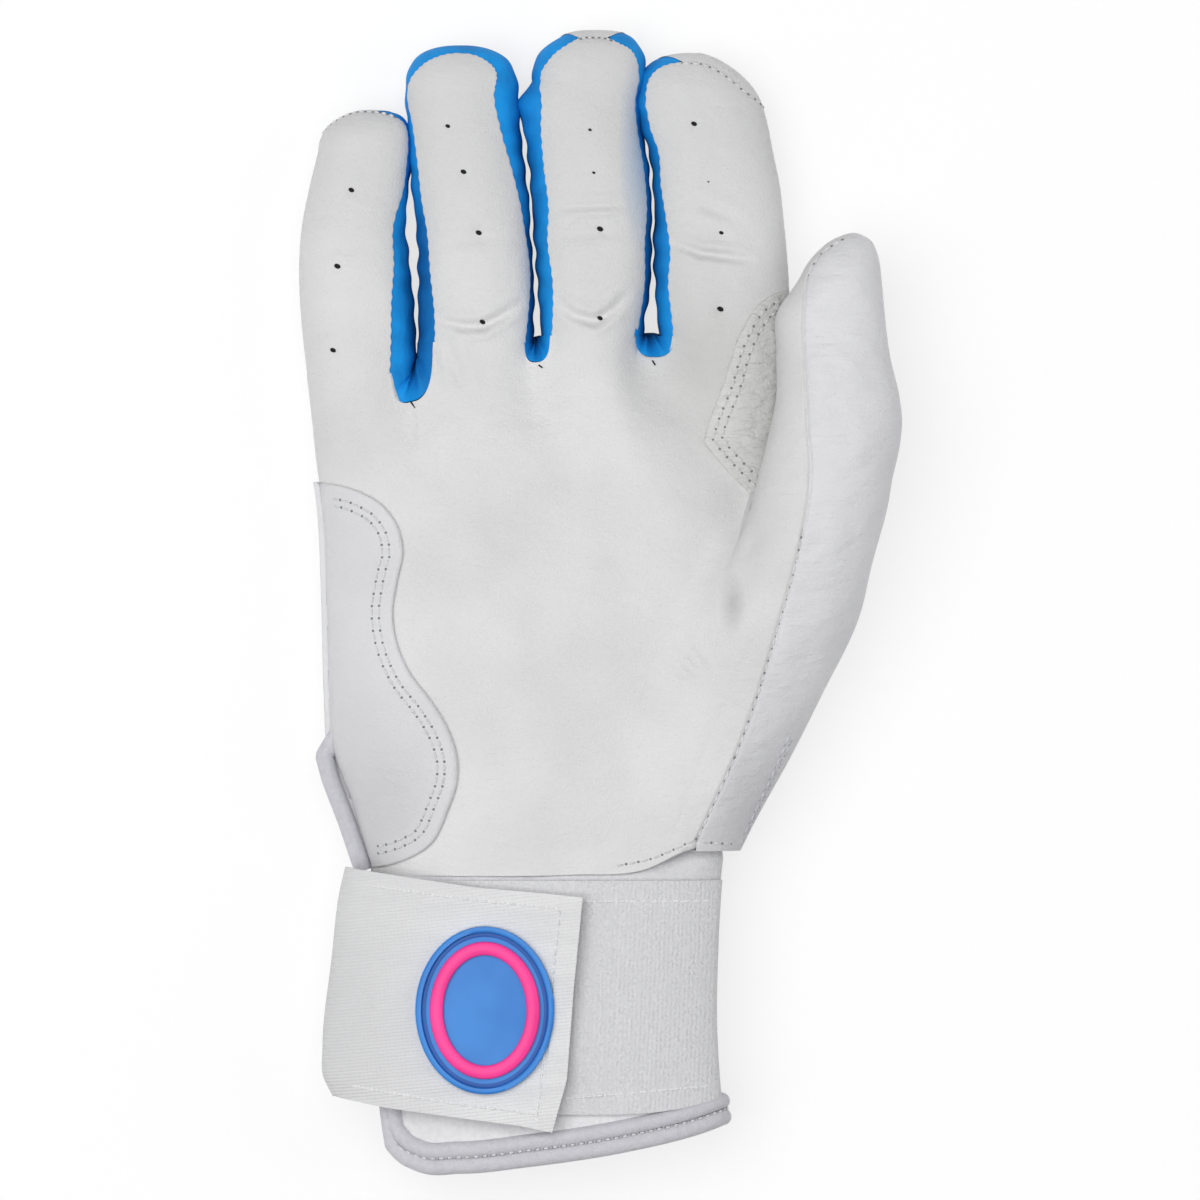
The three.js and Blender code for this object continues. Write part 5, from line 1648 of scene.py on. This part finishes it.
def build_emblem():
    plate = np.concatenate([
        oval([share * side for side in shrink(EMBLEM_HALF, PLATE_INSET)], PLATE_HEIGHT)
        for share in steps(PLATE_RINGS)
    ], 1)
    add("strap", sheet("emblem_base_rubber", plate, EMBLEM_BLUE), "emblem_blue", "emblem_base")
    rim = oval_band(EMBLEM_HALF, RIM_WIDTH, RIM_HEIGHTS, RIM_ROUND)
    add("strap", sheet("emblem_rim_rubber", rim, EMBLEM_BLUE), "emblem_blue")
    groove = oval_band(shrink(EMBLEM_HALF, RIM_WIDTH), GROOVE_WIDTH, GROOVE_HEIGHTS, GROOVE_ROUND)
    add("strap", sheet("emblem_groove_rubber", groove, EMBLEM_EDGE), "emblem_blue")
    ring = oval_band(RING_HALF, RING_WIDTH, RING_HEIGHTS, RING_ROUND)
    add("strap", sheet("emblem_ring_rubber", ring, EMBLEM_PINK), "emblem_pink", "emblem_ring")


build_hand()
for finger in FINGERS:
    build_front(finger)
    build_back(finger)
    build_gusset(finger, 0, "left")
    build_gusset(finger, 1, "right")
    build_holes(finger)
for row in TIP_STITCHES:
    tip_stitches(*row)
build_overlay_stitches()
build_thread_ends()
build_thumb()
build_wrist_stitches()
build_cuff()
build_cuff_trim()
build_strap()
build_emblem()


# Floor, lights and camera. Lights: name, place and size in metres, and power in watts.
PHOTO_WIDTH = 252
PHOTO_LEVEL = 12
CAMERA_LENS = 400
SENSOR = 36
CLIP_END = 100
FLOOR_SIZE = 6.0
FLOOR_DROP = -0.0005
BACKDROP_SHARE = 0.72
WORLD_LIGHT = 0.18
LIGHTS = [
    ("overhead_softbox", (-0.35, 0.1, 1.45), 1.3, 19),
    ("right_fill", (1.2, 0.2, 0.9), 1.0, 4.6),
    ("left_fill", (-1.2, -0.3, 0.8), 1.0, 2.6),
]


def make_floor():
    """A white floor: the camera sees it mostly as a plain white ground, with the glove's shadow on it."""
    look = Look("floor_white", (0.98, 0.98, 0.98), 0.9)
    ground = look.node("Emission", Color=(1, 1, 1, 1))
    ray = look.node("LightPath")
    seen = look.node("Math")
    seen.operation = "MULTIPLY"
    seen.inputs[1].default_value = BACKDROP_SHARE
    mix = look.node("MixShader")
    look.links.new(ray.outputs["Is Camera Ray"], seen.inputs[0])
    look.links.new(seen.outputs["Value"], mix.inputs["Fac"])
    look.links.new(look.shader.outputs["BSDF"], mix.inputs[1])
    look.links.new(ground.outputs["Emission"], mix.inputs[2])
    look.links.new(mix.outputs["Shader"], look.nodes["Material Output"].inputs["Surface"])
    half = FLOOR_SIZE / 2
    corners = [(-half, -half), (half, -half), (half, half), (-half, half)]
    mesh = bpy.data.meshes.new("floor")
    mesh.from_pydata([(*corner, FLOOR_DROP) for corner in corners], [], [(0, 1, 2, 3)])
    mesh.materials.append(look.material)
    floor = bpy.data.objects.new("floor", mesh)
    bpy.context.collection.objects.link(floor)


def make_light(name, place, size, power):
    light = bpy.data.lights.new(name, "AREA")
    light.energy = power
    light.shape = "SQUARE"
    light.size = size
    lamp = bpy.data.objects.new(name, light)
    lamp.location = place
    lamp.rotation_euler = (-Vector(place)).to_track_quat("-Z", "Y").to_euler()
    bpy.context.collection.objects.link(lamp)


def make_camera():
    """A camera far above the glove, which sees the photo's width at the photo's level."""
    camera = bpy.data.cameras.new("camera")
    camera.lens = CAMERA_LENS
    camera.sensor_width = SENSOR
    camera.clip_end = CLIP_END
    view = bpy.data.objects.new("camera", camera)
    view.location = (0, 0, (PHOTO_WIDTH * CAMERA_LENS / SENSOR + PHOTO_LEVEL) * MM)
    bpy.context.collection.objects.link(view)
    bpy.context.scene.camera = view


make_floor()
for light in LIGHTS:
    make_light(*light)
make_camera()

world = bpy.data.worlds.new("studio")
world.use_nodes = True
world.node_tree.nodes["Background"].inputs["Color"].default_value = (1, 1, 1, 1)
world.node_tree.nodes["Background"].inputs["Strength"].default_value = WORLD_LIGHT
bpy.context.scene.world = world
bpy.context.scene.view_settings.view_transform = "Standard"
